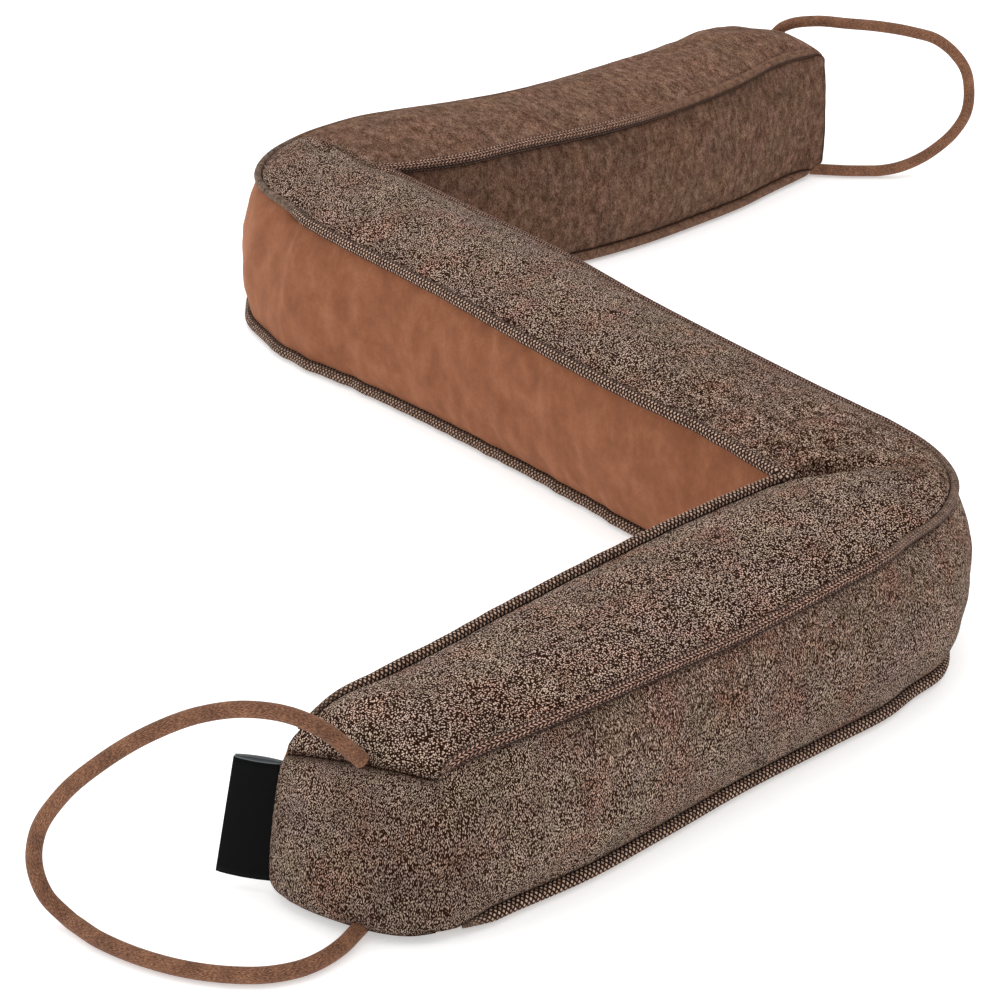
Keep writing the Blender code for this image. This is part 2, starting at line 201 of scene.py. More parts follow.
def walked(points: np.ndarray) -> np.ndarray:
    """How far along a line each of its points lies."""
    return np.concatenate([[0.0], np.cumsum(np.linalg.norm(np.diff(points, axis=0), axis=1))])


def even_line(points: np.ndarray, step: float) -> np.ndarray:
    """The same line with evenly spaced points.

    Args:
        points: the line's points.
        step: wanted distance from one to the next.

    Returns:
        The new points.
    """
    along = walked(points)
    places = np.linspace(0, along[-1], round(along[-1] / step) + 1)
    return np.column_stack([np.interp(places, along, points[:, axis]) for axis in range(3)])


def add_piece(
    name: str,
    points: np.ndarray,
    faces: Sequence[Sequence[int]],
    finish: bpy.types.Material,
    uvs: Optional[np.ndarray] = None,
) -> bpy.types.Object:
    """Adds a mesh object at the origin.

    Args:
        name: the piece's name.
        points: its points, in millimetres.
        faces: its faces, as point numbers.
        finish: its material.
        uvs: for each corner of each face in turn, its place on the cloth in metres.

    Returns:
        The new object.
    """
    mesh = bpy.data.meshes.new(name)
    mesh.from_pydata((np.asarray(points) * MM).tolist(), [], [list(map(int, row)) for row in faces])
    if uvs is not None:
        layer = mesh.uv_layers.new(name="cloth")
        layer.data.foreach_set("uv", np.asarray(uvs, np.float32).ravel())
    mesh.update()
    mesh.shade_smooth()
    mesh.set_sharp_from_angle(angle=math.radians(SHARP))
    mesh.materials.append(finish)
    piece = bpy.data.objects.new(name, mesh)
    bpy.context.scene.collection.objects.link(piece)
    LOG.info("%s: %d points, %d faces", name, len(mesh.vertices), len(mesh.polygons))
    return piece


def mark_points(piece: bpy.types.Object, **shares: np.ndarray) -> None:
    """Gives the points of a piece named values, which its material reads as attributes.

    Args:
        piece: the piece.
        **shares: a value for each point, under the attribute's name.
    """
    for name, values in shares.items():
        layer = piece.data.attributes.new(name, "FLOAT", "POINT")
        layer.data.foreach_set("value", values.astype(np.float32))


# ---------------------------------------------------------------------------
# Finishes
# ---------------------------------------------------------------------------


def linear(code: str) -> tuple:
    """A shader colour from an sRGB hex value.

    Args:
        code: six hex digits after a hash sign.

    Returns:
        Linear red, green and blue, and an alpha of 1.
    """
    parts = [int(code[place : place + 2], 16) / 255 for place in (1, 3, 5)]
    return (*(c / 12.92 if c <= 0.04045 else ((c + 0.055) / 1.055) ** 2.4 for c in parts), 1.0)


def plug(tree: bpy.types.NodeTree, node: bpy.types.Node, inputs: dict) -> None:
    """Sets the inputs of a node, or links them.

    Args:
        tree: the node's tree.
        node: the node.
        inputs: input name or number to a fixed value, a socket, or a node that gives its first live output.
    """
    for key, value in inputs.items():
        if isinstance(value, bpy.types.Node):
            value = next(socket for socket in value.outputs if socket.enabled)
        if isinstance(value, bpy.types.NodeSocket):
            tree.links.new(value, node.inputs[key])
        else:
            node.inputs[key].default_value = value


def add_node(
    tree: bpy.types.NodeTree,
    kind: str,
    inputs: Optional[dict] = None,
    stops: Iterable[tuple] = (),
    **settings,
) -> bpy.types.Node:
    """Adds a shader node with its settings and links.

    Args:
        tree: the node tree.
        kind: the node's type, without the ShaderNode that it starts with.
        inputs: its inputs, as plug takes them.
        stops: (place, hex colour) pairs of a colour ramp.
        **settings: attributes of the node.

    Returns:
        The new node.
    """
    node = tree.nodes.new(f"ShaderNode{kind}")
    for name, value in settings.items():
        setattr(node, name, value)
    plug(tree, node, inputs or {})
    for number, (place, code) in enumerate(stops):
        ramp = node.color_ramp.elements
        element = ramp[number] if number < len(ramp) else ramp.new(place)
        element.position, element.color = place, linear(code)
    return node


@dataclass(frozen=True)
class Finish:
    """A procedural material of one real cloth or trimming."""

    name: str
    meeting: tuple = (-4.0, 6.0)  # from where to where past the far fold one pile gives way to another

    def looks(self, add: Adder) -> dict:
        """Adds the finish's nodes.

        Args:
            add: adds a node to the material.

        Returns:
            What goes into each input of the shader.
        """
        raise NotImplementedError

    def material(self) -> bpy.types.Material:
        """Builds the material.

        Returns:
            The new material.
        """
        material = bpy.data.materials.new(self.name)
        material.use_nodes = True
        tree = material.node_tree
        plug(tree, tree.nodes["Principled BSDF"], self.looks(partial(add_node, tree)))
        return material

    def past_far_fold(self, add: Adder, point: bpy.types.NodeSocket) -> bpy.types.Node:
        """How far a point lies past the far fold of the bolster.

        Args:
            add: adds a node to the material.
            point: Object coordinates.

        Returns:
            A node that is 0 before the fold's line and 1 after it.
        """
        side = polar(FAR_BEND.line_heading - 90)
        corner = (np.array(FAR_BEND.centre) + PLAN_SHIFT) @ side * MM
        across = add("VectorMath", {0: point, 1: (*side, 0.0)}, operation="DOT_PRODUCT")
        before, after = (corner + reach * MM for reach in self.meeting)
        return add(
            "MapRange",
            {"Value": across, "From Min": before, "From Max": after},
            interpolation_type="SMOOTHSTEP",
        )


@dataclass(frozen=True)
class MelangeChenille(Finish):
    """Flecked chenille upholstery cloth: short loops of beige and dark brown yarn twisted together.

    To the eye it is a matte brown that breaks into light loop crowns and dark gaps about a
    millimetre apart, with rosy and grey patches a few centimetres wide.
    """

    nap: Nap = Nap.CURLED
    loop_mm: float = 0.7  # from one loop crown to the next
    strand_mm: float = 0.31  # the same across combed pile
    dash_mm: float = 1.2  # length of a combed fleck
    waver_mm: float = 11.11  # from one leaning tuft to the next
    waver: float = 0.0035  # how far tufts lean, in metres
    streak_mm: float = 0.5  # width of the lines combed under the upper seam
    streak_length_mm: float = 5.263
    brush_mm: float = 3.846  # size of a mark in brushed pile
    brush_turn: float = 52.0  # heading of those marks, in degrees
    patch_mm: float = 23.81  # size of a rosy or grey patch
    cloud_mm: float = 13.33
    cloud_tones: tuple = (0.78, 1.12)  # darkest and lightest cloud
    far_tones: tuple = (0.84, 1.12)  # the same on the far run
    gap: str = "#241005"
    shadow: str = "#594233"
    yarn: str = "#8c7162"
    crown: str = "#e2c8b6"
    rosy: str = "#f6cfc3"
    far_dark: str = "#462f23"
    far_yarn: str = "#725545"
    far_light: str = "#9b7b68"
    far_shade: float = 1.04  # how bright the far run's pile is; set lower on the side panels as painted shade
    seam_shade: float = 0.85  # strength of the painted shade where the cloth meets a seam, in creases and dimples and on the near end

    def loops(self, add: Adder, point: bpy.types.NodeSocket) -> tuple:
        """The pile of loops as it stands.

        Args:
            add: adds a node to the material.
            point: Object coordinates.

        Returns:
            A node that is high on the loops' crowns, and one with the wavering coordinates it reads.
        """
        across, upright = (self.loop_mm,) * 2 if self.nap is Nap.CURLED else (self.strand_mm, self.dash_mm)
        lean = add("TexNoise", {"Vector": point, "Scale": 1000 / self.waver_mm, "Detail": 1.0})
        lean = add(
            "VectorMath",
            {0: lean.outputs["Color"], 1: (self.waver,) * 3, 2: point},
            operation="MULTIPLY_ADD",
        )
        grid = add("Mapping", {"Vector": lean, "Scale": (1000 / across, 1000 / across, 1000 / upright)})
        curl = add(
            "TexNoise",
            {"Vector": grid, "Scale": 1.15, "Detail": 3.0, "Roughness": 0.7, "Distortion": 0.9},
        )
        cells = add(
            "TexVoronoi",
            {"Vector": grid, "Scale": 1.0, "Smoothness": 0.2, "Randomness": 0.9},
            feature="SMOOTH_F1",
        )
        crown = add("MapRange", {"Value": cells, "From Min": 0.72, "From Max": 0.12})
        return add("Mix", {0: 0.44, 2: crown, 3: curl}), lean

    def brushed(self, add: Adder, point: bpy.types.NodeSocket) -> bpy.types.Node:
        """Pile that has been brushed flat, in short marks that all run one way.

        Args:
            add: adds a node to the material.
            point: Object coordinates.

        Returns:
            A node with the height of the brushed pile.
        """
        marks = add(
            "VectorRotate",
            {"Vector": point, "Angle": math.radians(self.brush_turn)},
            rotation_type="Z_AXIS",
        )
        marks = add("Mapping", {"Vector": marks, "Scale": (0.62, 1.1, 0.66)})
        settings = {"Detail": 8.0, "Roughness": 0.82, "Distortion": 0.3}
        return add("TexNoise", {"Vector": marks, "Scale": 1000 / self.brush_mm, **settings})

    def streaked(self, add: Adder, point: bpy.types.Node, height: bpy.types.Node) -> bpy.types.Node:
        """Combs the pile into lines that run down from the upper seam and fade out.

        Args:
            add: adds a node to the material.
            point: wavering coordinates.
            height: how far the pile stands up.

        Returns:
            A node with the height of the combed pile.
        """
        across, upright = 1000 / self.streak_mm, 1000 / self.streak_length_mm
        lines = add("Mapping", {"Vector": point, "Scale": (across, across, upright)})
        lines = add("TexNoise", {"Vector": lines, "Scale": 1.0, "Detail": 2.0})
        lines = add(
            "MapRange",
            {"Value": lines, "From Min": 0.36, "From Max": 0.64, "To Min": 0.31, "To Max": 0.69},
        )
        share = add("Attribute", attribute_name="combed").outputs["Fac"]
        return add("Mix", {0: share, 2: height, 3: lines})

    def far_pile(
        self, add: Adder, height: bpy.types.Node, laid: bpy.types.Node, cloud: bpy.types.Node
    ) -> bpy.types.Node:
        """The far run's pile, which is brushed flatter, so it clouds instead of flecking.

        Args:
            add: adds a node to the material.
            height: how far the loops stand up.
            laid: the height of the brushed pile.
            cloud: light and dark clouds.

        Returns:
            A node with its colour.
        """
        far = add("Mix", {0: 0.26, 2: laid, 3: height})
        far = add(
            "ValToRGB",
            {"Fac": far},
            stops=((0.38, self.far_dark), (0.62, self.far_light), (0.5, self.far_yarn)),
        )
        low, high = self.cloud_tones
        dark, light = (tone * self.far_shade for tone in self.far_tones)
        soft = {"Value": cloud, "From Min": low, "From Max": high, "To Min": dark, "To Max": light}
        soft = add("MapRange", soft)
        return add("VectorMath", {0: far, 3: soft}, operation="SCALE")

    def looks(self, add: Adder) -> dict:
        """Adds the cloth's nodes.

        Args:
            add: adds a node to the material.

        Returns:
            What goes into each input of the shader.
        """
        point = add("TexCoord").outputs["Object"]
        height, wavering = self.loops(add, point)
        laid = self.brushed(add, point)
        share = add("Attribute", attribute_name="brushed").outputs["Fac"]
        ruffled = add("Mix", {0: share, 2: height, 3: laid})
        if self.nap is Nap.COMBED:
            ruffled = self.streaked(add, wavering, ruffled)
        fleck = add(
            "ValToRGB",
            {"Fac": ruffled},
            stops=((0.4, self.gap), (0.63, self.crown), (0.465, self.shadow), (0.53, self.yarn)),
        )
        settings = {"Scale": 1000 / self.patch_mm, "Detail": 5.0, "Roughness": 0.7}
        patch = add("TexNoise", {"Vector": point, **settings})
        rosy = add("MapRange", {"Value": patch, "From Min": 0.5, "From Max": 0.72, "To Max": 0.55})
        tinted = {0: rosy, 6: fleck, 7: linear(self.rosy)}
        tinted = add("Mix", tinted, data_type="RGBA", blend_type="MULTIPLY")
        settings = {"Scale": 1000 / self.cloud_mm, "Detail": 3.0, "Roughness": 0.6}
        cloud = add("TexNoise", {"Vector": point, **settings})
        low, high = self.cloud_tones
        cloud = {"Value": cloud, "From Min": 0.3, "From Max": 0.7, "To Min": low, "To Max": high}
        cloud = add("MapRange", cloud)
        shaded = add("VectorMath", {0: tinted, 3: cloud}, operation="SCALE")
        far = self.far_pile(add, height, laid, cloud)
        whole = add("Mix", {0: self.past_far_fold(add, point), 6: shaded, 7: far}, data_type="RGBA")
        tint = {0: patch.outputs["Color"], 1: (0.32, 0.22, 0.32), 2: (0.84, 0.89, 0.84)}
        tint = add("VectorMath", tint, operation="MULTIPLY_ADD")
        whole = add("VectorMath", {0: whole, 1: tint}, operation="MULTIPLY")
        # painted shade at seams, in creases and dimples and on the near end, mixed towards the gap colour
        turned = add("Attribute", attribute_name="turned_in").outputs["Fac"]
        turned = add("Math", {0: turned, 1: self.seam_shade}, operation="MULTIPLY")
        return {
            "Base Color": add("Mix", {0: turned, 6: whole, 7: linear(self.gap)}, data_type="RGBA"),
            "Normal": add("Bump", {"Height": height, "Strength": 0.6, "Distance": 0.0005}),
            "Roughness": 0.95,
            "Specular IOR Level": 0.06,
            "Sheen Weight": 0.03,
            "Sheen Roughness": 0.6,
            "Sheen Tint": linear("#cdb9a6"),
        }


@dataclass(frozen=True)
class RustMicrosuede(Finish):
    """Microsuede, a polyester knit with a sanded face.

    To the eye it is a soft rust brown without a weave, cloudy where the short nap lies one way
    or the other, and paler where it is seen edge on.
    """

    deep: str = "#774831"
    body: str = "#865338"
    worn: str = "#976347"
    # colour of the painted shade at seams and in dimples
    seam: str = "#24150e"
    cloud_mm: float = 11.0
    grain_mm: float = 0.6

    def looks(self, add: Adder) -> dict:
        """Adds the cloth's nodes.

        Args:
            add: adds a node to the material.

        Returns:
            What goes into each input of the shader.
        """
        point = add("TexCoord").outputs["Object"]
        upright = add("Mapping", {"Vector": point, "Scale": (1.0, 1.0, 0.85)})
        settings = {"Detail": 7.0, "Roughness": 0.68, "Distortion": 0.15}
        cloud = add("TexNoise", {"Vector": upright, "Scale": 1000 / self.cloud_mm, **settings})
        grain = add("TexNoise", {"Vector": point, "Scale": 1000 / self.grain_mm, "Detail": 2.0})
        mixed = add("Mix", {0: 0.25, 2: cloud, 3: grain})
        stops = ((0.34, self.deep), (0.68, self.worn), (0.5, self.body))
        colour = add("ValToRGB", {"Fac": mixed}, stops)
        # painted shade at seams and in dimples, mixed towards the seam colour
        turned = add("Attribute", attribute_name="turned_in").outputs["Fac"]
        return {
            "Base Color": add("Mix", {0: turned, 6: colour, 7: linear(self.seam)}, data_type="RGBA"),
            "Normal": add("Bump", {"Height": grain, "Strength": 0.25, "Distance": 0.0002}),
            "Roughness": 0.9,
            "Specular IOR Level": 0.2,
            "Sheen Weight": 0.45,
            "Sheen Roughness": 0.4,
            "Sheen Tint": linear("#e0a684"),
        }


@dataclass(frozen=True)
class BraidTrim(Finish):
    """Piping braid of dark yarn with a beige thread, plaited or laid in a lattice.

    To the eye a plait is rows of small slanted stitches that meet in points, and a lattice is
    staggered rows of round pale stitches. Both are nearly black between their threads, and
    where the braid turns under the cloth the cloth's own brown pile covers it.
    """

    weave: Weave = Weave.PLAIT
    edge: float = 0.43  # where a stitch ends, of half the way to the next one
    rounded: float = 0.26  # how much of that is its rounded side
    stitch_mm: float = 2.0  # from one stitch to the next along the braid
    rows: int = 12  # stitch rows round the braid
    girth_mm: float = 15.4
    spot_mm: float = 1.4286  # from one lighter spot of the yarn to the next
    gap: str = "#1e0f0a"
    yarn: str = "#735443"
    crown: str = "#d2b39d"
    pile_dark: str = "#2e2119"
    pile_light: str = "#8a7363"
    far_pile_dark: str = "#523829"
    far_pile_light: str = "#846350"
    tuft_mm: float = 2.381  # size of a tuft of the pile that covers the piping
    rib_mm: float = 0.9  # from one rib of the covered piping to the next

    def thread_height(self, add: Adder, uv: bpy.types.NodeSocket) -> bpy.types.Node:
        """How far the threads stand up.

        Args:
            add: adds a node to the material.
            uv: place on the braid, in metres along and round it.

        Returns:
            A node that is 1 on a thread's crown and 0 between threads.
        """
        split = add("SeparateXYZ", {"Vector": uv})
        rows = self.rows * 1000 / self.girth_mm
        row = add("Math", {0: split.outputs["Y"], 1: rows}, operation="MULTIPLY")
        if self.weave is Weave.PLAIT:
            slants = [add("Math", {0: row, 1: 1.0}, operation="PINGPONG")]
        else:
            slants = [add("Math", {0: row, 1: turn}, operation="MULTIPLY") for turn in (0.5, -0.5)]
        threads = []
        for slant in slants:
            along = {0: split.outputs["X"], 1: 1000 / self.stitch_mm, 2: slant}
            along = add("Math", along, operation="MULTIPLY_ADD")
            fold = add("Math", {0: along, 1: 0.5}, operation="PINGPONG")
            fold = {"Value": fold, "From Min": self.edge, "From Max": self.edge - self.rounded}
            threads.append(add("MapRange", fold, interpolation_type="SMOOTHSTEP"))
        if self.weave is Weave.LATTICE:
            return add("Math", {0: threads[0], 1: threads[1]}, operation="MINIMUM")
        inside = add("Math", {0: row, 1: 0.5}, operation="PINGPONG")
        inside = add("MapRange", {"Value": inside, "From Min": 0.0, "From Max": 0.25})
        return add("Math", {0: threads[0], 1: inside}, operation="MULTIPLY")

    def pile(self, add: Adder, coordinates: bpy.types.Node) -> bpy.types.Node:
        """The cloth that covers the piping where no braid shows.

        Args:
            add: adds a node to the material.
            coordinates: the Texture Coordinate node.

        Returns:
            A node with its colour, finely ribbed across the piping.
        """
        point = coordinates.outputs["Object"]
        tufts = {"Vector": point, "Scale": 1000 / self.tuft_mm, "Detail": 6.0, "Roughness": 0.75}
        tufts = add("TexNoise", tufts)
        split = add("SeparateXYZ", {"Vector": coordinates.outputs["UV"]})
        turns = 2000 * math.pi / self.rib_mm
        rib = add("Math", {0: split.outputs["X"], 1: turns}, operation="MULTIPLY")
        rib = add("Math", {0: rib}, operation="SINE")
        nap = add("Math", {0: rib, 1: 0.06, 2: tufts}, operation="MULTIPLY_ADD")
        tones = ((self.pile_dark, self.pile_light), (self.far_pile_dark, self.far_pile_light))
        near, far = (
            add("ValToRGB", {"Fac": nap}, stops=((0.36, dark), (0.64, light))) for dark, light in tones
        )
        return add("Mix", {0: self.past_far_fold(add, point), 6: near, 7: far}, data_type="RGBA")

    def looks(self, add: Adder) -> dict:
        """Adds the braid's nodes. The UV map holds metres along and round the braid.

        Args:
            add: adds a node to the material.

        Returns:
            What goes into each input of the shader.
        """
        coordinates = add("TexCoord")
        height = self.thread_height(add, coordinates.outputs["UV"])
        uneven = {"Vector": coordinates.outputs["Object"], "Scale": 1000 / self.spot_mm, "Detail": 2.0}
        uneven = add("TexNoise", uneven)
        uneven = {"Value": uneven, "From Min": 0.3, "From Max": 0.7, "To Min": 0.45, "To Max": 1.0}
        uneven = add("MapRange", uneven)
        lit = add("Math", {0: height, 1: uneven}, operation="MULTIPLY")
        colour = add("ValToRGB", {"Fac": lit}, ((0.16, self.gap), (0.8, self.crown), (0.42, self.yarn)))
        covered = add("Attribute", attribute_name="covered").outputs["Fac"]
        pile = self.pile(add, coordinates)
        colour = add("Mix", {0: covered, 6: colour, 7: pile}, data_type="RGBA")
        # painted shadow of the cloth beside the piping, mixed towards the gap colour
        grooved = add("Attribute", attribute_name="grooved").outputs["Fac"]
        return {
            "Base Color": add("Mix", {0: grooved, 6: colour, 7: linear(self.gap)}, data_type="RGBA"),
            "Normal": add("Bump", {"Height": height, "Strength": 0.6, "Distance": 0.0003}),
            "Roughness": 0.88,
            "Specular IOR Level": 0.2,
        }


@dataclass(frozen=True)
class SuedeCord(Finish):
    """Round cord in a suede-like cover, cut from brushed fibre.

    To the eye it is a warm mid brown with fine fibres that run slantwise round it.
    """

    deep: str = "#3f281c"
    body: str = "#714b37"
    pale: str = "#a47556"
    fibre_mm: float = 0.26
    fibre_length_mm: float = 1.1
    slant: float = 58.0  # of the fibres, in degrees
    cloud_mm: float = 8.333

    def looks(self, add: Adder) -> dict:
        """Adds the cord's nodes. The UV map holds metres along and round the cord.

        Args:
            add: adds a node to the material.

        Returns:
            What goes into each input of the shader.
        """
        coordinates = add("TexCoord")
        fibres = add(
            "Mapping",
            {
                "Vector": coordinates.outputs["UV"],
                "Rotation": (0.0, 0.0, math.radians(self.slant)),
                "Scale": (1000 / self.fibre_length_mm, 1000 / self.fibre_mm, 1.0),
            },
        )
        fibres = add("TexNoise", {"Vector": fibres, "Scale": 1.0, "Detail": 3.0, "Distortion": 0.3})
        cloud = {"Vector": coordinates.outputs["Object"], "Scale": 1000 / self.cloud_mm, "Detail": 3.0}
        mixed = add("Mix", {0: 0.22, 2: fibres, 3: add("TexNoise", cloud)})
        stops = ((0.37, self.deep), (0.64, self.pale), (0.5, self.body))
        return {
            "Base Color": add("ValToRGB", {"Fac": mixed}, stops),
            "Normal": add("Bump", {"Height": fibres, "Strength": 0.4, "Distance": 0.0002}),
            "Roughness": 0.8,
            "Specular IOR Level": 0.3,
            "Sheen Weight": 0.15,
            "Sheen Roughness": 0.5,
            "Sheen Tint": linear("#d6a888"),
        }


@dataclass(frozen=True)
class WovenTape(Finish):
    """Plain polyester satin tape, woven about 20 threads to the centimetre.

    To the eye it is nearly black with a dull shine, and grey where its cut edge and inside show.
    """

    body: str = "#070708"
    thread: str = "#0a0b0c"
    thread_mm: float = 0.5
    gloss: float = 0.06
    wave_period: float = 6.28  # of the wave texture, in its own units

    def looks(self, add: Adder) -> dict:
        """Adds the tape's nodes.

        Args:
            add: adds a node to the material.

        Returns:
            What goes into each input of the shader.
        """
        point = add("TexCoord").outputs["Object"]
        rows = {"Vector": point, "Scale": 1000 / self.thread_mm / self.wave_period}
        rows.update({"Distortion": 0.6, "Detail": 1.0})
        rows = add("TexWave", rows, wave_type="BANDS", bands_direction="Z").outputs["Fac"]
        return {
            "Base Color": add("ValToRGB", {"Fac": rows}, ((0.2, self.body), (0.9, self.thread))),
            "Normal": add("Bump", {"Height": rows, "Strength": 0.05, "Distance": 0.0001}),
            "Roughness": 0.6,
            "Specular IOR Level": self.gloss,
        }


@dataclass(frozen=True)
class PaperSweep(Finish):
    """Matte white background paper, a plain pale ground that takes a soft contact shadow."""

    tone: str = "#f7f7f7"
    glow: float = 0.38  # the paper glows: painted light that lifts its contact shadows and lights the bolster from below

    def looks(self, add: Adder) -> dict:
        """What goes into each input of the shader; plain paper needs no node."""
        return {
            "Base Color": linear(self.tone),
            "Roughness": 0.9,
            "Specular IOR Level": 0.1,
            "Emission Color": linear("#ffffff"),
            "Emission Strength": self.glow,
        }


# ---------------------------------------------------------------------------
# The bolster's form, with the sizes of the CAD source
# ---------------------------------------------------------------------------


class Section(NamedTuple):
    """A cross-section of a run, in millimetres and degrees, as in the CAD source."""

    along: float
    turn: float
    left: float
    right: float
    rise_left: float
    rise_right: float
    crown: float
    puff_left: float
    puff_right: float
    foot_left: float
    foot_right: float
    lift: float
    nose_top: float = 0.0
    nose_foot: float = 0.0
    lean_left: float = 0.0
    lean_right: float = 0.0


class Run(NamedTuple):
    """A straight run: where its axis starts in plan, its heading and its sections."""

    start: tuple
    heading: float
    sections: tuple


class Bend(NamedTuple):
    """A fold of the bolster about an upright line."""

    centre: tuple
    start: float  # heading before the bend, degrees
    end: float  # heading after it
    puff: float  # bulge of the outer side
    inner: tuple  # radius of the inner seam at each step
    outer: tuple  # radius of the outer top seam at each step
    feet: tuple  # how far the outer lower seam stands outside it
    crease_at: float  # share of the bend where the top cloth is folded in
    line_heading: float  # where the fold's line runs to from the inner corner


class Crease(NamedTuple):
    """A fold line in the top cloth, with a roll of cloth along its steeper side."""

    line: tuple  # points in plan
    depth: float
    right_spread: float
    left_spread: float
    lip: float  # height of the roll
    lip_place: float = 2.4  # from the line to the roll, of the steeper spread
    lip_width: float = 1.4  # width of the roll, of the same
    start: float = 0.35  # depth at the line's first point, of the whole depth
    deepest: tuple = (0.15, 0.45)  # shares of the line between which it has its whole depth
    slack: float = 1.0  # how far past its ends the line still holds
    fade: float = 3.0  # how fast it fades beyond


class Knot(NamedTuple):
    """The piping at one place of a seam."""

    along: float  # from the near end
    radius: float
    lap: float  # how far the top cloth's edge stands above the piping's centre
    covered: float  # share of the braid that the cloth's own pile hides


class Seam(NamedTuple):
    """A long seam and its piping. The piping's sides are counted from its top, round to the right."""

    node: str
    weave: Weave
    flange_side: int  # faces the filling
    groove_sides: tuple  # dark with the cloth's shadow: on the near run, and past its bend
    # darkness of that painted shadow
    groove_darkness: float
    groove_spread: float
    knots: tuple  # rows of a Knot's values


class Dimple(NamedTuple):
    """A pinch in the cloth, or a patch of painted shade."""

    place: tuple
    depth: float
    spread: float


class RimShade(NamedTuple):
    """How dark the painted shade along a panel's edge is on one stretch of a seam."""

    face: Face
    halves: tuple  # True for the half of the face with the lower parts, False for the other one
    start: float
    end: float
    shade: float


NEAR_RUN = Run(
    (-44.7, -203.5),
    44.0,
    (
        Section(-2, 13, 35.8, 28.5, 52.5, 63.6, 1.4, 1.6, 0.5, 1.3, 1.5, 2.6, -1, -10, -6, -2),
        Section(4, 11, 34.9, 29.5, 59, 67, 5.2, 3.6, 2.5, 2, 2, 0.8, -1, -7, -4, -1),
        Section(14, 7, 32.8, 30, 66, 69, 7.4, 4.6, 4, 2, 3, 0, -0.5, -3, -1.5, 0),
        Section(34, 2, 31, 32.5, 68, 70, 8, 5, 5, 1, 2, 0),
        Section(66, 0, 32.5, 35, 68, 70, 8, 5, 6, 1, 3, 0),
        Section(105, 0, 35.5, 36, 68, 69, 8, 5, 6, 1, 2, 0),
        Section(150, 0, 38, 36, 68, 67, 8, 5, 6, 1, 1, 0),
        Section(200, 0, 39, 36, 68, 68, 8, 4, 6, 1, 2.5, 0),
        Section(230, 0, 38, 35, 68, 68.5, 8, 1, 6.5, 0, 4, 0),
    ),
)
MIDDLE_RUN = Run(
    (159.4, -6.1),
    127.4,
    (
        Section(56, 0, 35, 29.7, 68, 67.5, 8, 1, 5, 0, 3, 0),
        Section(87, 0, 33.5, 31.5, 68, 66, 8, 4, 5, -2, 3, 0),
        Section(125, 0, 34.2, 32.5, 67, 65.5, 8, 5, 5, -3, 3, 0),
        Section(200, 0, 34.4, 33.5, 67, 66, 8, 5, 5, -2.5, 2, 0),
        Section(262, 0, 34, 34.5, 68, 68, 8, 5, 5, 1, 1, 0),
        Section(320, 0, 35, 34, 68, 68, 8, 6, 4, 5.5, 1, 0),
        Section(362, 0, 34.8, 33.3, 68, 68, 8, 6.5, 1, 11, 0, 0),
    ),
)
FAR_RUN = Run(
    (-87.2, 316.5),
    40.6,
    (
        Section(75, -8, 46.5, 26, 68.5, 68, 9, 5, 1, 4, 1, 0),
        Section(105, -6, 39, 29.5, 68, 68, 8, 5, 4, 2, 2, 0),
        Section(140, -2, 31, 36.5, 68, 68, 8, 5, 5, 1, 3, 0),
        Section(175, 0, 27.5, 40, 68, 68, 8, 5, 5.5, 1, 2.5, 0),
        Section(210, 2, 29, 39.5, 67.5, 68.5, 8.5, 5, 5.5, 1, 2, 0),
        Section(245, 3, 32, 36.5, 66.5, 70, 10.5, 5, 5.5, 1, 2.5, 0),
        Section(273, 3, 34, 32.5, 66, 72, 11.0, 4, 5, 1, 1.5, 0),
        Section(296, 2, 33.5, 31, 65.5, 71, 8.2, 3, 3.5, 1, 0, 0, 2, 2),
        Section(309, 1, 32.5, 30.9, 65, 69, 3.9, 2, 2.2, 0, 0, 0.8, 3.5, 5, 0, 0.5),
        Section(315, 0, 31, 30.7, 63.5, 67, 1.0, 0.5, 0.8, 0, 0, 2.6, 3.5, 8, 0, 1),
    ),
)
NEAR_BEND = Bend(
    centre=(104.3, -1.6),
    start=44.0,
    end=127.4,
    puff=9.0,
    inner=(5, 5.6, 7.6, 10, 8.2, 6, 5),
    outer=(73, 73, 73, 73, 71.5, 70.3, 70),
    feet=(5, 5, 1, -4, -6, -5, -2),
    crease_at=0.68,
    line_heading=190.0,
)
FAR_BEND = Bend(
    centre=(-47.5, 326.5),
    start=127.4,
    end=30.0,
    puff=5.5,
    inner=(5, 5.6, 7.4, 10.4, 10.8, 8, 6, 5),
    outer=(68, 68.5, 68.5, 68, 67.5, 67, 68.5, 71),
    feet=(12.5, 9.5, 6.5, 4.5, 3, 3, 3, 4),
    crease_at=0.86,
    line_heading=144.0,
)
CREASES = (
    Crease(
        ((110, -1.0), (116.5, 0.6), (126, 3.6), (136, 4.0), (147, 1.5), (160, -1.5)),
        depth=2.9, right_spread=7.0, left_spread=1.9, lip=1.6,
    ),
    Crease(
        ((-55, 331), (-70, 341), (-84, 352), (-98, 364)),
        depth=2.4, right_spread=4.0, left_spread=5.0, lip=0.4,
    ),
    Crease(
        ((-82.5, 336), (-85.5, 345), (-88, 352), (-91, 362)),
        depth=4.6, right_spread=2.6, left_spread=3.2, lip=1.2,
    ),
)
DIMPLES = (
    Dimple((-50.5, -380.0, 63.0), 4.5, 4.0),
    Dimple((-125.0, 113.0, 68.5), 3.0, 4.5),
    Dimple((136.0, 331.5, 70.0), 2.2, 4.0),
    Dimple((-73.5, -366.5, 62.0), 1.6, 4.5),
)
NEAR_END_SHADE = Dimple((-62.0, -385.0, 28.0), 0.42, 32.0)  # painted shade on the near end, where the pile lies down and looks darker: its darkness, not a depth
RIM_SHADES = (
    RimShade(Face.TOP, (True,), 650.0, 760.0, 0.25),  # lighter painted shade where the cloth is rolled over the piping
    RimShade(Face.TOP, (False,), 230.0, 320.0, 0.15),
    RimShade(Face.TOP, (False,), 760.0, math.inf, 0.2),
    RimShade(Face.LEFT, (True, False), 20.0, math.inf, 0.0),
)
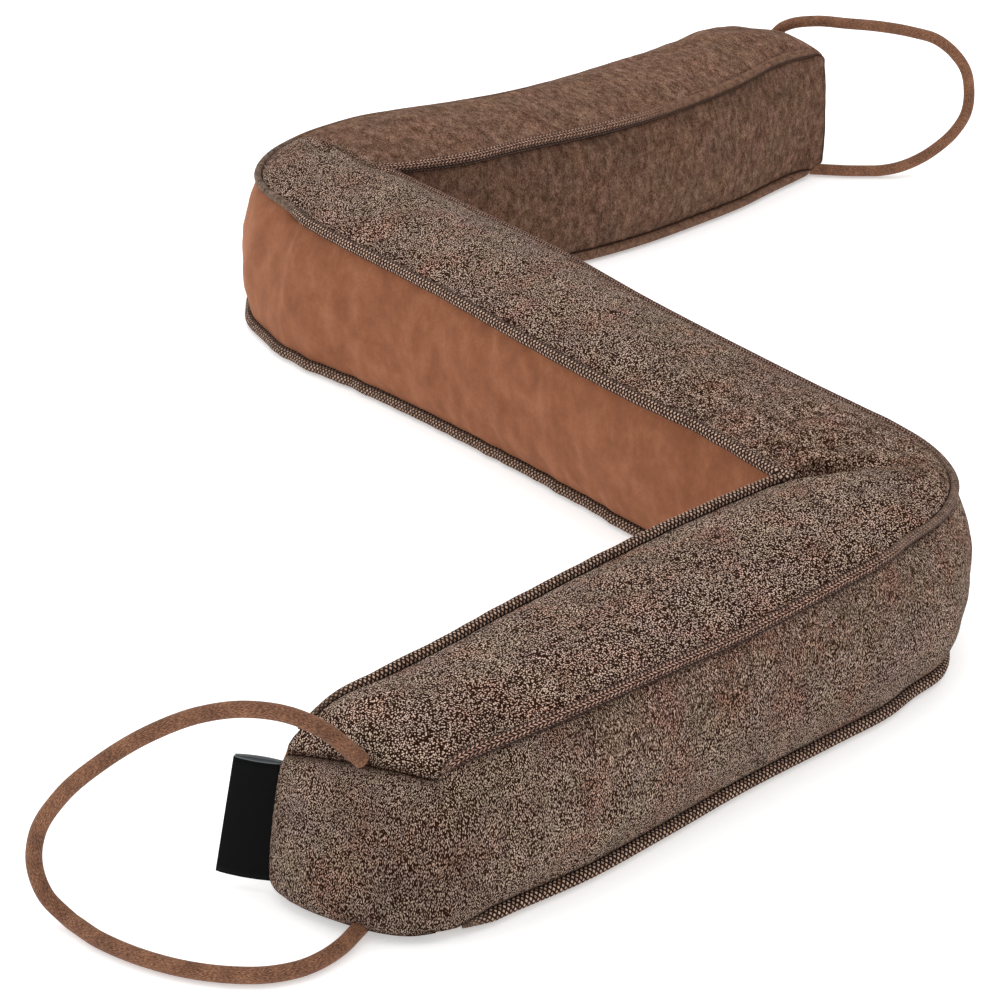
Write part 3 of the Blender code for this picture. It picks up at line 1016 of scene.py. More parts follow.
SEAMS = (
    Seam("piping_top_left", Weave.LATTICE, 9, (6.6, 0.9), 0.9, 1.1, (
        (0, 0.1, 0, 1), (6, 0.4, 0, 0.8), (12, 1.0, 0, 0.4), (30, 2.1, 0, 0), (48, 2.45, 0, 0),
        (649, 2.45, 0, 0), (652, 2.1, 0.2, 1), (660, 1.9, 0.5, 1), (700, 1.7, 0.8, 1),
        (722, 1.2, 0.9, 1), (900, 1.1, 0.9, 1), (972, 0.8, 0.5, 1), (982, 0.1, 0, 1), (997, 0.1, 0, 1),
    )),
    Seam("piping_top_right", Weave.PLAIT, 15, (7.9, 7.9), 0.95, 1.6, (
        (0, 0.1, 0, 1), (4, 0.8, 0, 0.4), (10, 2.1, 0, 0), (20, 2.45, 0, 0), (222, 2.45, 0, 0),
        (245, 2.0, 0.3, 0.5), (285, 1.7, 0.8, 0.7), (305, 1.7, 0.9, 0.1), (640, 1.7, 0.9, 0),
        (665, 2.2, 0.2, 0), (735, 2.6, 0, 0.1), (760, 3.0, 0.2, 0.15), (840, 3.0, 0.4, 0.35),
        (885, 2.7, 0.7, 1), (984, 2.3, 0.7, 1), (991, 1.2, 0.3, 1), (995, 0.1, 0, 1), (997, 0.1, 0, 1),
    )),
    Seam("piping_foot_right", Weave.LATTICE, 21, (22.4, 22.4), 0.45, 1.0, (
        (0, 0.1, 0, 1), (9, 0.3, 0, 1), (17, 1.3, 0, 0.4), (26, 2.45, 0, 0), (700, 2.45, 0, 0.1),
        (770, 2.45, 0, 0.6), (840, 2.45, 0, 1), (976, 2.3, 0, 1), (986, 1.6, 0, 1), (992, 0.1, 0, 1),
        (997, 0.1, 0, 1),
    )),
    Seam("piping_foot_left", Weave.LATTICE, 3, (0.3, 0.3), 0.9, 1.1, (
        (0, 0.1, 0, 1), (5, 1.0, 0, 0.5), (12, 2.45, 0, 0), (984, 2.45, 0, 0.3), (991, 0.1, 0, 1),
        (997, 0.1, 0, 1),
    )),
)
SEAM_WAVES = {3: Wave(0.75, 19.0, 10.0), 0: Wave(0.35, 23.0, 7.0)}  # by the seam's number
STUFFING = Wave(0.7, 34.0, 1.0)  # uneven all over
RUMPLES = Wave(0.25, 13.0, 2.0)
SIDE_PUCKERS = Wave(0.55, 8.0, 3.0)  # drawn in by the upper seams
CONTRAST_SAGS = Wave(0.35, 24.0, 4.0)
TOP_PUCKERS = Wave(0.3, 9.0, 5.0)
TOP_SAGS = Wave(0.8, 46.0, 6.0)
GRID_FACES = (Face.TOP, Face.RIGHT, Face.UNDER, Face.LEFT, Face.NEAR, Face.FAR)  # a point's kind counts these
CREASE_POINTS = 60  # on the curve of a crease
NO_LENGTH = 1e-9  # a normal shorter than this points nowhere


@dataclass
class Bolster:
    """The outer form of the stuffed tube, as one closed grid of points."""

    step: float = 1.9  # spacing of the sections
    top_cells: int = 44  # cells across the top and the underside
    side_cells: int = 36  # cells up a side
    crowding: float = 0.4  # how far the cells crowd towards the seams
    seam_room: float = 0.3  # from the piping to a panel's edge
    side_tuck: float = 0.18  # how far a side's edge turns in under the piping, of the seam's width
    steepest_tuck: float = 0.8  # the most that any edge turns in, of the same
    lap_lift: float = 0.6  # how far a lap lifts its seam
    calm_ends: tuple = (20.0, 40.0)  # between these distances from an end the seams start to waver
    piping_rest: float = 3.4  # height of the lower piping's centre
    bend_crown: float = 8.0
    bend_rise: float = 68.0
    fold_puff: float = -2.0
    fold_crease: float = 0.95
    fold_reach: float = 0.3  # how much of a bend the fold takes up
    crease_spread: float = 0.8
    top_round: float = 2.4
    side_round: float = 2.4
    foot_curve: float = 0.1  # share of the underside that curves up to each lower seam
    cap_puff: float = 5.0
    cap_round: float = 2.5
    bow_round: float = 3.0
    end_reach: float = 14.0  # how far from an end its rim is softened
    end_soft: tuple = (1.5, 8.0)  # distances from the rim between which that fades out
    end_rounds: int = 7
    end_pull: float = 0.6
    end_groove: tuple = (1.1, 1.7)  # depth and spread of the groove along the edges of an end
    end_size: float = 60.0
    mitre_limit: float = 1.7
    flat_limit: float = 0.05  # faces that meet flatter than this count as one
    face_widths: tuple = (70.0, 64.0)  # rough widths of the top and a side
    hold: float = 5.0  # how far from a seam its piping holds the cloth flat
    pucker_start: float = 2.5
    pucker_reach: tuple = (8.0, 9.0)  # on the top and on a side
    pucker_height: float = 62.0
    pucker_slant: float = 0.18
    crease_shade: tuple = (0.75, 2.5)  # darkness of the painted shade in a crease, and how narrow its dark line is
    dimple_shade: tuple = (0.8, 0.5)  # the same of the painted shade in a dimple
    next_shade: float = 0.3  # darkness of the painted shade one point in from a panel's edge
    corners: np.ndarray = field(init=False)  # piping centres of every section
    seams: np.ndarray = field(init=False)  # radius, lap and covered share there
    along: np.ndarray = field(init=False)  # distance of every section from the near end
    points: np.ndarray = field(init=False)
    kind: np.ndarray = field(init=False)  # the face that each point lies on
    part: np.ndarray = field(init=False)  # its place across that face, from 0 to 1
    walk: np.ndarray = field(init=False)  # its distance from the near end
    turned: np.ndarray = field(init=False)  # painted shade of each point: how dark it is painted at a seam, in a crease or a dimple, or on the near end
    faces: dict = field(init=False)
    rims: dict = field(init=False)  # points on the four edges of each end
    inward: np.ndarray = field(init=False)  # moves that set the skin in by one unit

    def __post_init__(self) -> None:
        """Lays out the sections and builds the skin over them."""
        self.top_parts = self._parts(self.top_cells)
        self.side_parts = self._parts(self.side_cells)
        self.ring = 2 * (self.top_cells + self.side_cells + 2)
        values = self._station_values()
        self.corners = values[:, :12].reshape(-1, 4, 3)
        self.shape = values[:, 12:]
        self.seams = np.stack([self._seam_values(seam) for seam in SEAMS], axis=1)
        self.corners[:, :, 2] += self.lap_lift * self.seams[:, :, 1]
        self._wave_seams()
        self._fill_rings()
        self.faces, self.rims = {face: [] for face in Face}, {}
        self._add_bands()
        self._add_cap(Face.NEAR, 0, -1.0)
        self._add_cap(Face.FAR, len(self.along) - 1, 1.0)
        self._soften_ends()
        self.inward = self._inward_moves()
        self._dress_with_folds()

    def _parts(self, cells: int) -> np.ndarray:
        """Places across a face, closer together beside its seams."""
        even = np.linspace(0, 1, cells + 1)
        return (1 - self.crowding) * even + self.crowding * (1 - np.cos(np.pi * even)) / 2

    def _corner_row(self, left: np.ndarray, right: np.ndarray, out: np.ndarray, rises: tuple,
                    feet: tuple, leans: tuple = (0.0, 0.0)) -> list:
        """The four piping centres of a section.

        Args:
            left: left top seam in plan.
            right: right top seam in plan.
            out: unit vector from left to right.
            rises: heights of the top seams.
            feet: how far each lower seam stands outside its upper one.
            leans: how far each foot stands past its top along the run.

        Returns:
            Twelve numbers: top left, top right, foot right and foot left.
        """
        ahead = np.array([-out[1], out[0]])
        foot_left = left - out * feet[0] + ahead * leans[0]
        foot_right = right + out * feet[1] + ahead * leans[1]
        rest = self.piping_rest
        return [*left, rises[0], *right, rises[1], *foot_right, rest, *foot_left, rest]

    def _run_rows(self, run: Run) -> list:
        """The sections of a straight run as rows of corner and shape values."""
        rows = []
        for cut in run.sections:
            middle = np.array(run.start) + polar(run.heading) * cut.along
            out = polar(run.heading + cut.turn - 90)
            corners = self._corner_row(
                middle - out * cut.left,
                middle + out * cut.right,
                out,
                (cut.rise_left, cut.rise_right),
                (cut.foot_left, cut.foot_right),
                (cut.lean_left, cut.lean_right),
            )
            shape = [cut.crown, cut.puff_left, cut.puff_right, cut.lift, cut.nose_top, cut.nose_foot]
            rows.append([*corners, *shape, 0.0, 0.0])
        return rows

    def _bend_rows(self, bend: Bend) -> list:
        """The sections of a fold, fanned about its inner seam."""
        centre, rows = np.array(bend.centre), []
        rises = (self.bend_rise, self.bend_rise)
        shares = np.linspace(0, 1, len(bend.outer))
        for share, inner, reach, foot in zip(shares, bend.inner, bend.outer, bend.feet):
            out = polar(bend.start + (bend.end - bend.start) * share - 90)
            crease = self.fold_crease * bell(share - bend.crease_at, self.fold_reach)
            if bend.end > bend.start:
                left, right = centre + out * inner, centre + out * reach
                feet, puffs, side = (0, foot), (self.fold_puff, bend.puff), -1.0
            else:
                left, right = centre - out * reach, centre - out * inner
                feet, puffs, side = (foot, 0), (bend.puff, self.fold_puff), 1.0
            corners = self._corner_row(left, right, out, rises, feet)
            rows.append([*corners, self.bend_crown, *puffs, 0.0, 0.0, 0.0, crease, side])
        return rows

    def _station_values(self) -> np.ndarray:
        """Every section from the near end to the far end, evenly spaced."""
        rows = self._run_rows(NEAR_RUN) + self._bend_rows(NEAR_BEND) + self._run_rows(MIDDLE_RUN)
        rows = np.array(rows + self._bend_rows(FAR_BEND) + self._run_rows(FAR_RUN))
        for corner in range(4):
            rows[:, corner * 3 : corner * 3 + 2] += PLAN_SHIFT
        middles = (rows[:, 0:2] + rows[:, 3:5]) / 2
        knots = walked(middles)
        self.along = np.linspace(0, knots[-1], round(knots[-1] / self.step) + 1)
        return smooth_rows(knots, rows, self.along)

    def _wave_seams(self) -> None:
        """Lets the seams on the left waver a little, as sewn piping does."""
        across = unit((self.corners[:, 1] - self.corners[:, 0]) * (1.0, 1.0, 0.0))
        walk = np.column_stack([self.along, np.zeros(len(self.along))])
        inside = ease(self.along, *self.calm_ends) * ease(self.along[-1] - self.along, *self.calm_ends)
        for corner, wave in SEAM_WAVES.items():
            self.corners[:, corner] += across * (inside * ripple(walk, wave))[:, None]

    def _seam_values(self, seam: Seam) -> np.ndarray:
        """Radius, lap and covered share of one seam's piping at every section."""
        knots = [Knot(*row) for row in seam.knots]
        places = [knot.along for knot in knots]
        rows = np.array([(knot.radius, knot.lap, knot.covered) for knot in knots])
        return np.column_stack([np.interp(self.along, places, values) for values in rows.T])

    def _face_points(self, seams: tuple, tucks: tuple, out: np.ndarray, bulge: np.ndarray,
                     parts: np.ndarray, power: float) -> np.ndarray:
        """Points across one face of every section, from beside one piping to the next.

        Args:
            seams: numbers of the seams where the face starts and ends.
            tucks: how far the face's edges lie under those pipings' centres.
            out: the face's outward direction.
            bulge: its bulge at each of its parts.
            parts: places across the face.
            power: roundness of the bulge.

        Returns:
            An array of sections by parts by three.
        """
        start, end = (self.corners[:, seam] for seam in seams)
        across = unit(end - start)
        out = unit(out - across * np.sum(out * across, axis=1)[:, None])
        edges = []
        for seam, tuck, sign in zip(seams, tucks, (1.0, -1.0)):
            width = self.seams[:, seam, 0] + self.seam_room
            tuck = np.clip(tuck, -self.steepest_tuck * width, self.steepest_tuck * width)
            inset = np.sqrt(width**2 - tuck**2)
            edges.append(self.corners[:, seam] + across * (sign * inset)[:, None] - out * tuck[:, None])
        first, last = edges
        tuck = (tucks[0] + tucks[1])[:, None] / 2
        rise = (bulge + tuck) * rounding(parts, power)[None, :]
        straight = first[:, None] + parts[None, :, None] * (last - first)[:, None]
        return straight + rise[..., None] * out[:, None]

    def _fill_rings(self) -> None:
        """The cover's outline at every section: top, right side, underside and left side."""
        crown, puff_left, puff_right, lift, nose_top, nose_foot, crease, fold_side = self.shape.T[..., None]
        across = unit((self.corners[:, 1] - self.corners[:, 0]) * (1.0, 1.0, 0.0))
        ahead = np.column_stack([-across[:, 1], across[:, 0], np.zeros(len(across))])
        upright = np.tile([0.0, 0.0, 1.0], (len(across), 1))
        tops, sides = self.top_parts, self.side_parts
        from_fold = np.where(fold_side < 0, tops[None, :], 1 - tops[None, :])
        crowns = crown * (1 - crease * (1 - from_fold) ** self.crease_spread)
        laps = -self.seams[:, :, 1].T
        tucks = self.side_tuck * (self.seams[:, :, 0].T + self.seam_room)
        none = np.zeros_like(lift)
        top = self._face_points((0, 1), laps[:2], upright, crowns, tops, self.top_round)
        right = self._face_points((1, 2), tucks[1:3], across, puff_right, sides, self.side_round)
        under = self._face_points((2, 3), (none[:, 0],) * 2, -upright, none, tops, self.top_round)
        left = self._face_points((3, 0), tucks[[3, 0]], -across, puff_left, sides, self.side_round)
        edges = np.maximum(under[:, [0, -1], 2], lift)
        flat = np.clip(np.minimum(tops, 1 - tops) / self.foot_curve, 0, 1)
        near_edge = np.where(tops < 0.5, edges[:, :1], edges[:, 1:])
        under[:, :, 2] = near_edge + (lift - near_edge) * flat
        bow = rounding(tops, self.bow_round)[None, :, None]
        top += nose_top[..., None] * bow * ahead[:, None]
        under += nose_foot[..., None] * bow * ahead[:, None]
        self.points = np.concatenate([top, right, under, left], axis=1).reshape(-1, 3)
        counts = [self.top_cells + 1, self.side_cells + 1] * 2
        self.kind = np.tile(np.repeat(np.arange(4), counts), len(across))
        self.part = np.tile(np.concatenate([tops, sides, tops, sides]), len(across))
        self.walk = np.repeat(self.along, self.ring)

    def _on(self, face: Face) -> np.ndarray:
        """Which points lie on a face."""
        return self.kind == GRID_FACES.index(face)

    def _add_bands(self) -> None:
        """The faces between each ring and the next."""
        kinds = []
        for face, cells in zip(GRID_FACES, (self.top_cells, self.side_cells) * 2):
            kinds += [face] * cells + [Face.SEAM]
        for index in range(len(self.along) - 1):
            base = index * self.ring
            for place, kind in enumerate(kinds):
                a, b = base + place, base + (place + 1) % self.ring
                self.faces[kind].append((a, b, b + self.ring, a + self.ring))

    def _add_cap(self, face: Face, index: int, side: float) -> None:
        """An end of the bolster: a patch drawn between its four edges, bulging outwards.

        Args:
            face: which end.
            index: the section it closes.
            side: -1 at the near end, 1 at the far end.
        """
        base, tops, sides = index * self.ring, self.top_cells, self.side_cells
        top = base + np.arange(tops + 1)
        foot = base + 2 * tops + sides + 2 - np.arange(tops + 1)
        right = base + tops + 1 + np.arange(sides + 1)
        left = base + self.ring - 1 - np.arange(sides + 1)
        grid = np.zeros((sides + 1, tops + 1), int)
        grid[:, 0], grid[:, -1], grid[0], grid[-1] = left, right, top, foot
        across = self.points[top[-1]] - self.points[top[0]]
        out = side * np.array([-across[1], across[0], 0.0]) / np.linalg.norm(across[:2])
        u, v = self.top_parts[None, 1:-1, None], self.side_parts[1:-1, None, None]
        high, low, near, away = (self.points[line] for line in (top, foot, left, right))
        patch = (1 - v) * high[None, 1:-1] + v * low[None, 1:-1]
        patch = patch + (1 - u) * near[1:-1, None] + u * away[1:-1, None]
        patch -= (1 - v) * ((1 - u) * high[0] + u * high[-1]) + v * ((1 - u) * low[0] + u * low[-1])
        patch += out * self.cap_puff * rounding(u, self.cap_round) * rounding(v, self.cap_round)
        rows, columns = patch.shape[:2]
        added = rows * columns
        grid[1:-1, 1:-1] = len(self.points) + np.arange(added).reshape(rows, columns)
        self.points = np.vstack([self.points, patch.reshape(-1, 3)])
        self.kind = np.concatenate([self.kind, np.full(added, GRID_FACES.index(face))])
        self.part = np.concatenate([self.part, np.full(added, 0.5)])
        self.walk = np.concatenate([self.walk, np.full(added, self.along[index])])
        cells = [
            (grid[row, column], grid[row, column + 1], grid[row + 1, column + 1], grid[row + 1, column])
            for row in range(sides)
            for column in range(tops)
        ]
        cells += [(left[0], top[0], left[1]), (top[-1], right[0], right[1])]
        cells += [(left[-2], foot[0], left[-1]), (foot[-1], right[-2], right[-1])]
        self.faces[face] = [tuple(cell[::-1]) if side < 0 else tuple(cell) for cell in cells]
        self.rims[face] = {"top": top, "foot": foot, "left": left, "right": right}

    def _every_face(self) -> list:
        """All the skin's faces in one list."""
        return [face for faces in self.faces.values() for face in faces]

    def _soften_ends(self) -> None:
        """Rounds the box edges at the two ends, where no piping stiffens them."""
        sides = set()
        for face in self._every_face():
            for place, point in enumerate(face):
                other = face[(place + 1) % len(face)]
                sides.add((min(point, other), max(point, other)))
        sides = np.array(sorted(sides))
        rims = np.unique(np.concatenate([line for rim in self.rims.values() for line in rim.values()]))
        ends = (self.walk < self.end_reach) | (self.walk > self.along[-1] - self.end_reach)
        local = np.nonzero(ends)[0]
        away = np.linalg.norm(self.points[local][:, None] - self.points[rims][None], axis=2).min(axis=1)
        weight = np.zeros(len(self.points))
        weight[local] = self.end_pull * (1 - ease(away, *self.end_soft))
        count = np.maximum(np.bincount(sides.ravel(), minlength=len(self.points)), 1)[:, None]
        for _ in range(self.end_rounds):
            total = np.zeros_like(self.points)
            np.add.at(total, sides[:, 0], self.points[sides[:, 1]])
            np.add.at(total, sides[:, 1], self.points[sides[:, 0]])
            self.points += (total / count - self.points) * weight[:, None]

    def _inward_moves(self) -> np.ndarray:
        """For each point, the move that sets every face meeting there in by one unit."""
        normals = np.zeros((len(self.faces), len(self.points), 3))
        for kind, faces in enumerate(self.faces.values()):
            corners = np.array([face if len(face) == 4 else (*face, face[-1]) for face in faces])
            crossed = np.cross(
                self.points[corners[:, 2]] - self.points[corners[:, 0]],
                self.points[corners[:, 3]] - self.points[corners[:, 1]],
            )
            for place in range(4):
                np.add.at(normals[kind], corners[:, place], crossed)
        size = np.linalg.norm(normals, axis=2)
        normals /= np.maximum(size, NO_LENGTH)[..., None]
        moves = -normals.sum(axis=0)
        for point in np.nonzero((size > NO_LENGTH).sum(axis=0) > 1)[0]:
            rows = normals[size[:, point] > NO_LENGTH, point]
            move = np.linalg.lstsq(rows, np.ones(len(rows)), rcond=self.flat_limit)[0]
            moves[point] = -move / max(1.0, np.linalg.norm(move) / self.mitre_limit)
        return moves

    @staticmethod
    def _crease_height(plan: np.ndarray, crease: Crease) -> np.ndarray:
        """How far a crease moves the top cloth.

        Args:
            plan: places in plan.
            crease: the fold line.

        Returns:
            A height for each place.
        """
        knots = np.array(crease.line, float)
        line = smooth_rows(walked(knots), knots, np.linspace(0, walked(knots)[-1], CREASE_POINTS))
        heading = unit(np.gradient(line, axis=0))
        away = plan[:, None] - line[None]
        nearest = np.argmin(np.sum(away**2, axis=2), axis=1)
        gap, ahead = away[np.arange(len(plan)), nearest], heading[nearest]
        off = ahead[:, 0] * gap[:, 1] - ahead[:, 1] * gap[:, 0]
        beyond = np.maximum(np.abs(np.sum(gap * ahead, axis=1)) - crease.slack, 0.0)
        share = nearest / (len(line) - 1)
        full, fading = crease.deepest
        fade = crease.start + (1 - crease.start) * ease(share, 0.0, full)
        fade = fade * (1 - ease(share, fading, 1.0)) * bell(beyond, crease.fade)
        spread = np.where(off < 0, crease.right_spread, crease.left_spread)
        steep = min(crease.right_spread, crease.left_spread)
        side = 1.0 if steep == crease.right_spread else -1.0
        lip = crease.lip * bell(off + side * crease.lip_place * steep, crease.lip_width * steep)
        return fade * (lip - crease.depth * bell(off, spread))

    def _pinch(self, height: np.ndarray) -> None:
        """Presses the dimples and the grooves along the ends' edges into the skin, and paints shade into the
        dimples.

        Args:
            height: how far each point moves outwards, which is changed.
        """
        deepest, narrow = self.dimple_shade
        for dimple in DIMPLES:
            away = np.linalg.norm(self.points - dimple.place, axis=1)
            height -= dimple.depth * bell(away, dimple.spread)
            # painted shade in the dimple
            self.turned = np.maximum(self.turned, deepest * bell(away, dimple.spread * narrow))
        depth, spread = self.end_groove
        for rim in self.rims.values():
            for name in ("top", "foot", "left"):
                line = self.points[rim[name]]
                middle = np.linalg.norm(self.points - line.mean(axis=0), axis=1)
                close = np.nonzero(middle < self.end_size)[0]
                away = np.linalg.norm(self.points[close][:, None] - line[None], axis=2).min(axis=1)
                height[close] -= depth * bell(away, spread)

    def _puckers(self, gap: np.ndarray, reach: float) -> np.ndarray:
        """How much the cloth puckers at each distance from its seam."""
        return np.exp(-gap / reach) * (1 - np.exp(-gap / self.pucker_start))

    def _dress_with_folds(self) -> None:
        """Moves the skin in and out a little: creases, puckers and the uneven stuffing. Paints shade into the
        creases and dimples and onto the near end.
        """
        self.turned = np.zeros(len(self.points))
        plan = self.points[:, :2] - PLAN_SHIFT
        top, right, left = (self._on(face) for face in (Face.TOP, Face.RIGHT, Face.LEFT))
        seam = np.minimum(self.part, 1 - self.part) * np.where(self.kind % 2 == 0, *self.face_widths)
        hold = 1 - np.exp(-seam / self.hold)
        height = (ripple(self.points, STUFFING) + ripple(self.points, RUMPLES)) * hold
        darkest, narrow = self.crease_shade
        for crease in CREASES:
            move = self._crease_height(plan[top], crease)
            height[top] += move
            # painted shade along the crease's valley
            shade = darkest * np.clip(-move / crease.depth, 0, 1) ** narrow
            self.turned[top] = np.maximum(self.turned[top], shade)
        height[top] += ripple(plan[top], TOP_SAGS) * hold[top]
        self._pinch(height)
        # painted shade on the near end
        place, shade, spread = NEAR_END_SHADE
        self.turned = np.maximum(
            self.turned, shade * bell(np.linalg.norm(self.points - place, axis=1), spread)
        )
        walk = np.column_stack([self.walk, self.points[:, 2] * self.pucker_slant])
        from_top = np.where(right, self.part, 1 - self.part) * self.pucker_height
        top_reach, side_reach = self.pucker_reach
        puckers = ripple(walk, SIDE_PUCKERS) * self._puckers(from_top, side_reach)
        height += np.where(left | right, puckers, 0.0)
        height += np.where(left, ripple(walk, CONTRAST_SAGS) * rounding(self.part, 2.0), 0.0)
        height += np.where(top, ripple(plan, TOP_PUCKERS) * self._puckers(seam, top_reach), 0.0)
        height[self._on(Face.UNDER)] = 0.0
        self.points = self.points - unit(self.inward) * height[:, None]
        self.points[:, 2] = np.maximum(self.points[:, 2], 0.0)

    def solid(self, covered: Iterable[Face], depth: float) -> tuple:
        """The filled solid under the cover.

        Args:
            covered: faces that a panel lies on, where the skin is set in.
            depth: how far.

        Returns:
            Points and faces.
        """
        inset = np.zeros(len(self.points))
        for kind in covered:
            inset[np.unique([point for face in self.faces[kind] for point in face])] = depth
        return self.points + self.inward * inset[:, None], self._every_face()

    def _rim_shades(self, used: np.ndarray) -> np.ndarray:
        """How dark the painted shade along a panel's edge would be at each of its points."""
        lower, walk, shades = self.part[used] < 0.5, self.walk[used], np.ones(len(used))
        for face, halves, start, end, shade in RIM_SHADES:
            there = self._on(face)[used] & (walk > start) & (walk < end)
            shades[there & np.isin(lower, halves)] = shade
        return shades

    def sheet(self, kinds: Iterable[Face], thickness: float, trim: float) -> tuple:
        """A panel of the cover: part of the skin with its thickness and its cut edges.

        Args:
            kinds: the faces that the panel covers.
            thickness: of the cloth.
            trim: how far its cut edge is drawn in from the seam.

        Returns:
            Points, faces and the painted shade of each point, dark at a seam or in a crease.
        """
        chosen = [face for kind in kinds for face in self.faces[kind]]
        used = np.unique([point for face in chosen for point in face])
        place = {point: number for number, point in enumerate(used)}
        faces = [tuple(place[point] for point in face) for face in chosen]
        outer = self.points[used].copy()
        sides, pull = set(), np.zeros_like(outer)
        for face in faces:
            middle = outer[list(face)].mean(axis=0)
            for number, point in enumerate(face):
                sides.add((point, face[(number + 1) % len(face)]))
                pull[point] += middle - outer[point]
        edges = [pair for pair in sides if pair[::-1] not in sides]
        rim = {end for pair in edges for end in pair}
        for point in rim:
            outer[point] += pull[point] / np.linalg.norm(pull[point]) * trim
        # painted shade, darkest along the panel's edges where they meet a seam
        turned, shades = self.turned[used], self._rim_shades(used)
        for a, b in sides:
            if a in rim:
                turned[a], turned[b] = shades[a], max(turned[b], self.next_shade * shades[a])
        inner = outer + self.inward[used] * thickness
        count = len(used)
        walls = [(b, a, a + count, b + count) for a, b in edges]
        back = [tuple(point + count for point in face[::-1]) for face in faces]
        return np.vstack([outer, inner]), faces + back + walls, np.tile(turned, 2)


# ---------------------------------------------------------------------------
# Sub-assemblies
# ---------------------------------------------------------------------------


class Softbox(NamedTuple):
    """A square soft light."""

    name: str
    place: tuple
    aim: tuple  # the point it faces
    size: float  # its side, in metres
    power: float  # in watts


@dataclass
class Studio:
    """The camera, the paper floor and the soft lights."""

    place: tuple = (-0.0301, -1.31727, 0.64332)
    tilt: float = math.radians(90 - 26.903)
    lens: float = 118.725
    film: float = 36.0
    floor_size: float = 12.0
    floor_drop: float = 0.0004
    room: float = 0.85  # brightness of the room
    boxes: tuple = (
        Softbox("overhead_softbox", (0.0, 0.3, 2.2), (0.0, 0.0, 0.0), 2.4, 17.0),
        Softbox("left_softbox", (-1.9, -0.4, 1.2), (0.0, 0.0, 0.03), 1.6, 7.0),
    )

    def set_camera(self) -> None:
        """Stands the camera where the photograph was taken from."""
        data = bpy.data.cameras.new("studio_camera")
        data.lens, data.sensor_width = self.lens, self.film
        camera = bpy.data.objects.new("studio_camera", data)
        camera.location, camera.rotation_euler = self.place, (self.tilt, 0.0, 0.0)
        bpy.context.scene.collection.objects.link(camera)
        bpy.context.scene.camera = camera
        LOG.info("studio_camera: %.1f mm lens", self.lens)

    def lay_floor(self) -> None:
        """Lays the paper floor just under the bolster."""
        bpy.ops.object.select_all(action="DESELECT")
        bpy.ops.mesh.primitive_plane_add(size=self.floor_size, location=(0.0, 0.0, -self.floor_drop))
        floor = bpy.context.active_object
        floor.name = "paper_floor"
        bpy.ops.object.transform_apply(location=True)
        floor.data.materials.append(PaperSweep("white_paper").material())

    def light(self) -> None:
        """Hangs a large soft light overhead, a weaker one on the left, and lights the room evenly."""
        world = bpy.data.worlds.new("studio_room")
        world.use_nodes = True
        room = {"Color": linear("#ffffff"), "Strength": self.room}
        plug(world.node_tree, world.node_tree.nodes["Background"], room)
        bpy.context.scene.world = world
        bpy.context.scene.view_settings.view_transform = "Standard"
        for box in self.boxes:
            data = bpy.data.lights.new(box.name, "AREA")
            data.shape, data.size, data.energy = "SQUARE", box.size, box.power
            lamp = bpy.data.objects.new(box.name, data)
            lamp.location = box.place
            lamp.rotation_euler = (Vector(box.aim) - Vector(box.place)).to_track_quat("-Z", "Y").to_euler()
            bpy.context.scene.collection.objects.link(lamp)


@dataclass
class CordLoop:
    """A cord loop sewn to one end of the bolster."""

    name: str
    node: str
    route: tuple  # points in metres, as in the CAD source
    length: float  # metres
    finish: Finish
    diameter: float = 0.0059
    step: float = 1.2
    sides: int = 24
    fine_points: int = 600  # on the curve before it is divided evenly

    def path(self) -> np.ndarray:
        """The cord's centre line as evenly spaced points, in millimetres."""
        rows = np.array(self.route) / MM
        knots = walked(rows)
        fine = smooth_rows(knots, rows, np.linspace(0, knots[-1], self.fine_points))
        fine[:, 2] = np.maximum(fine[:, 2], self.diameter / MM / 2 + GAP)
        return even_line(fine, self.step)

    def build(self) -> bpy.types.Object:
        """Returns:
            The new piece.
        """
        path = self.path()
        radius = np.full((len(path), self.sides), self.diameter / MM / 2)
        piece = sweep(self.name, path, radius, self.finish.material())
        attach(piece, "root")
        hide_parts(self.node)
        LOG.info("%s: %.0f mm long", self.name, walked(path)[-1])
        return piece


def sweep(name: str, path: np.ndarray, radius: np.ndarray, finish: bpy.types.Material) -> bpy.types.Object:
    """A tube along a line, with its UV map in metres along and round it.

    Args:
        name: the piece's name.
        path: the line's points, in millimetres.
        radius: the tube's radius at each point of the line and each of its sides.
        finish: its material.

    Returns:
        The new object, closed at both ends.
    """
    count, sides = radius.shape
    heading = unit(np.gradient(path, axis=0))
    up = np.zeros_like(path)
    up[0] = (0.0, 0.0, 1.0)
    for place in range(count):  # the frame is carried along without twisting
        last = up[max(place - 1, 0)]
        up[place] = unit(last - heading[place] * (last @ heading[place]))
    side = np.cross(heading, up)
    angles = np.linspace(0, 2 * np.pi, sides, endpoint=False)[None, :, None]
    ring = np.cos(angles) * up[:, None] + np.sin(angles) * side[:, None]
    points = (path[:, None] + ring * radius[..., None]).reshape(-1, 3)
    tips = (path[0] - heading[0] * TIP, path[-1] + heading[-1] * TIP)
    along = walked(path) * MM
    round_it = np.arange(sides + 1) / sides * 2 * np.pi * radius.mean() * MM
    faces, uvs = [], []
    for row in range(count - 1):
        for place in range(sides):
            a, b = row * sides + place, row * sides + (place + 1) % sides
            faces.append((a, a + sides, b + sides, b))
            low, high = round_it[place : place + 2]
            uvs += [(along[row], low), (along[row + 1], low), (along[row + 1], high), (along[row], high)]
    for place in range(sides):
        after, last = (place + 1) % sides, (count - 1) * sides
        faces += [(place, after, count * sides), (last + after, last + place, count * sides + 1)]
        uvs += [(0.0, round_it[place])] * 3 + [(along[-1], round_it[place])] * 3
    return add_piece(name, np.vstack([points, *tips]), faces, finish, np.array(uvs))


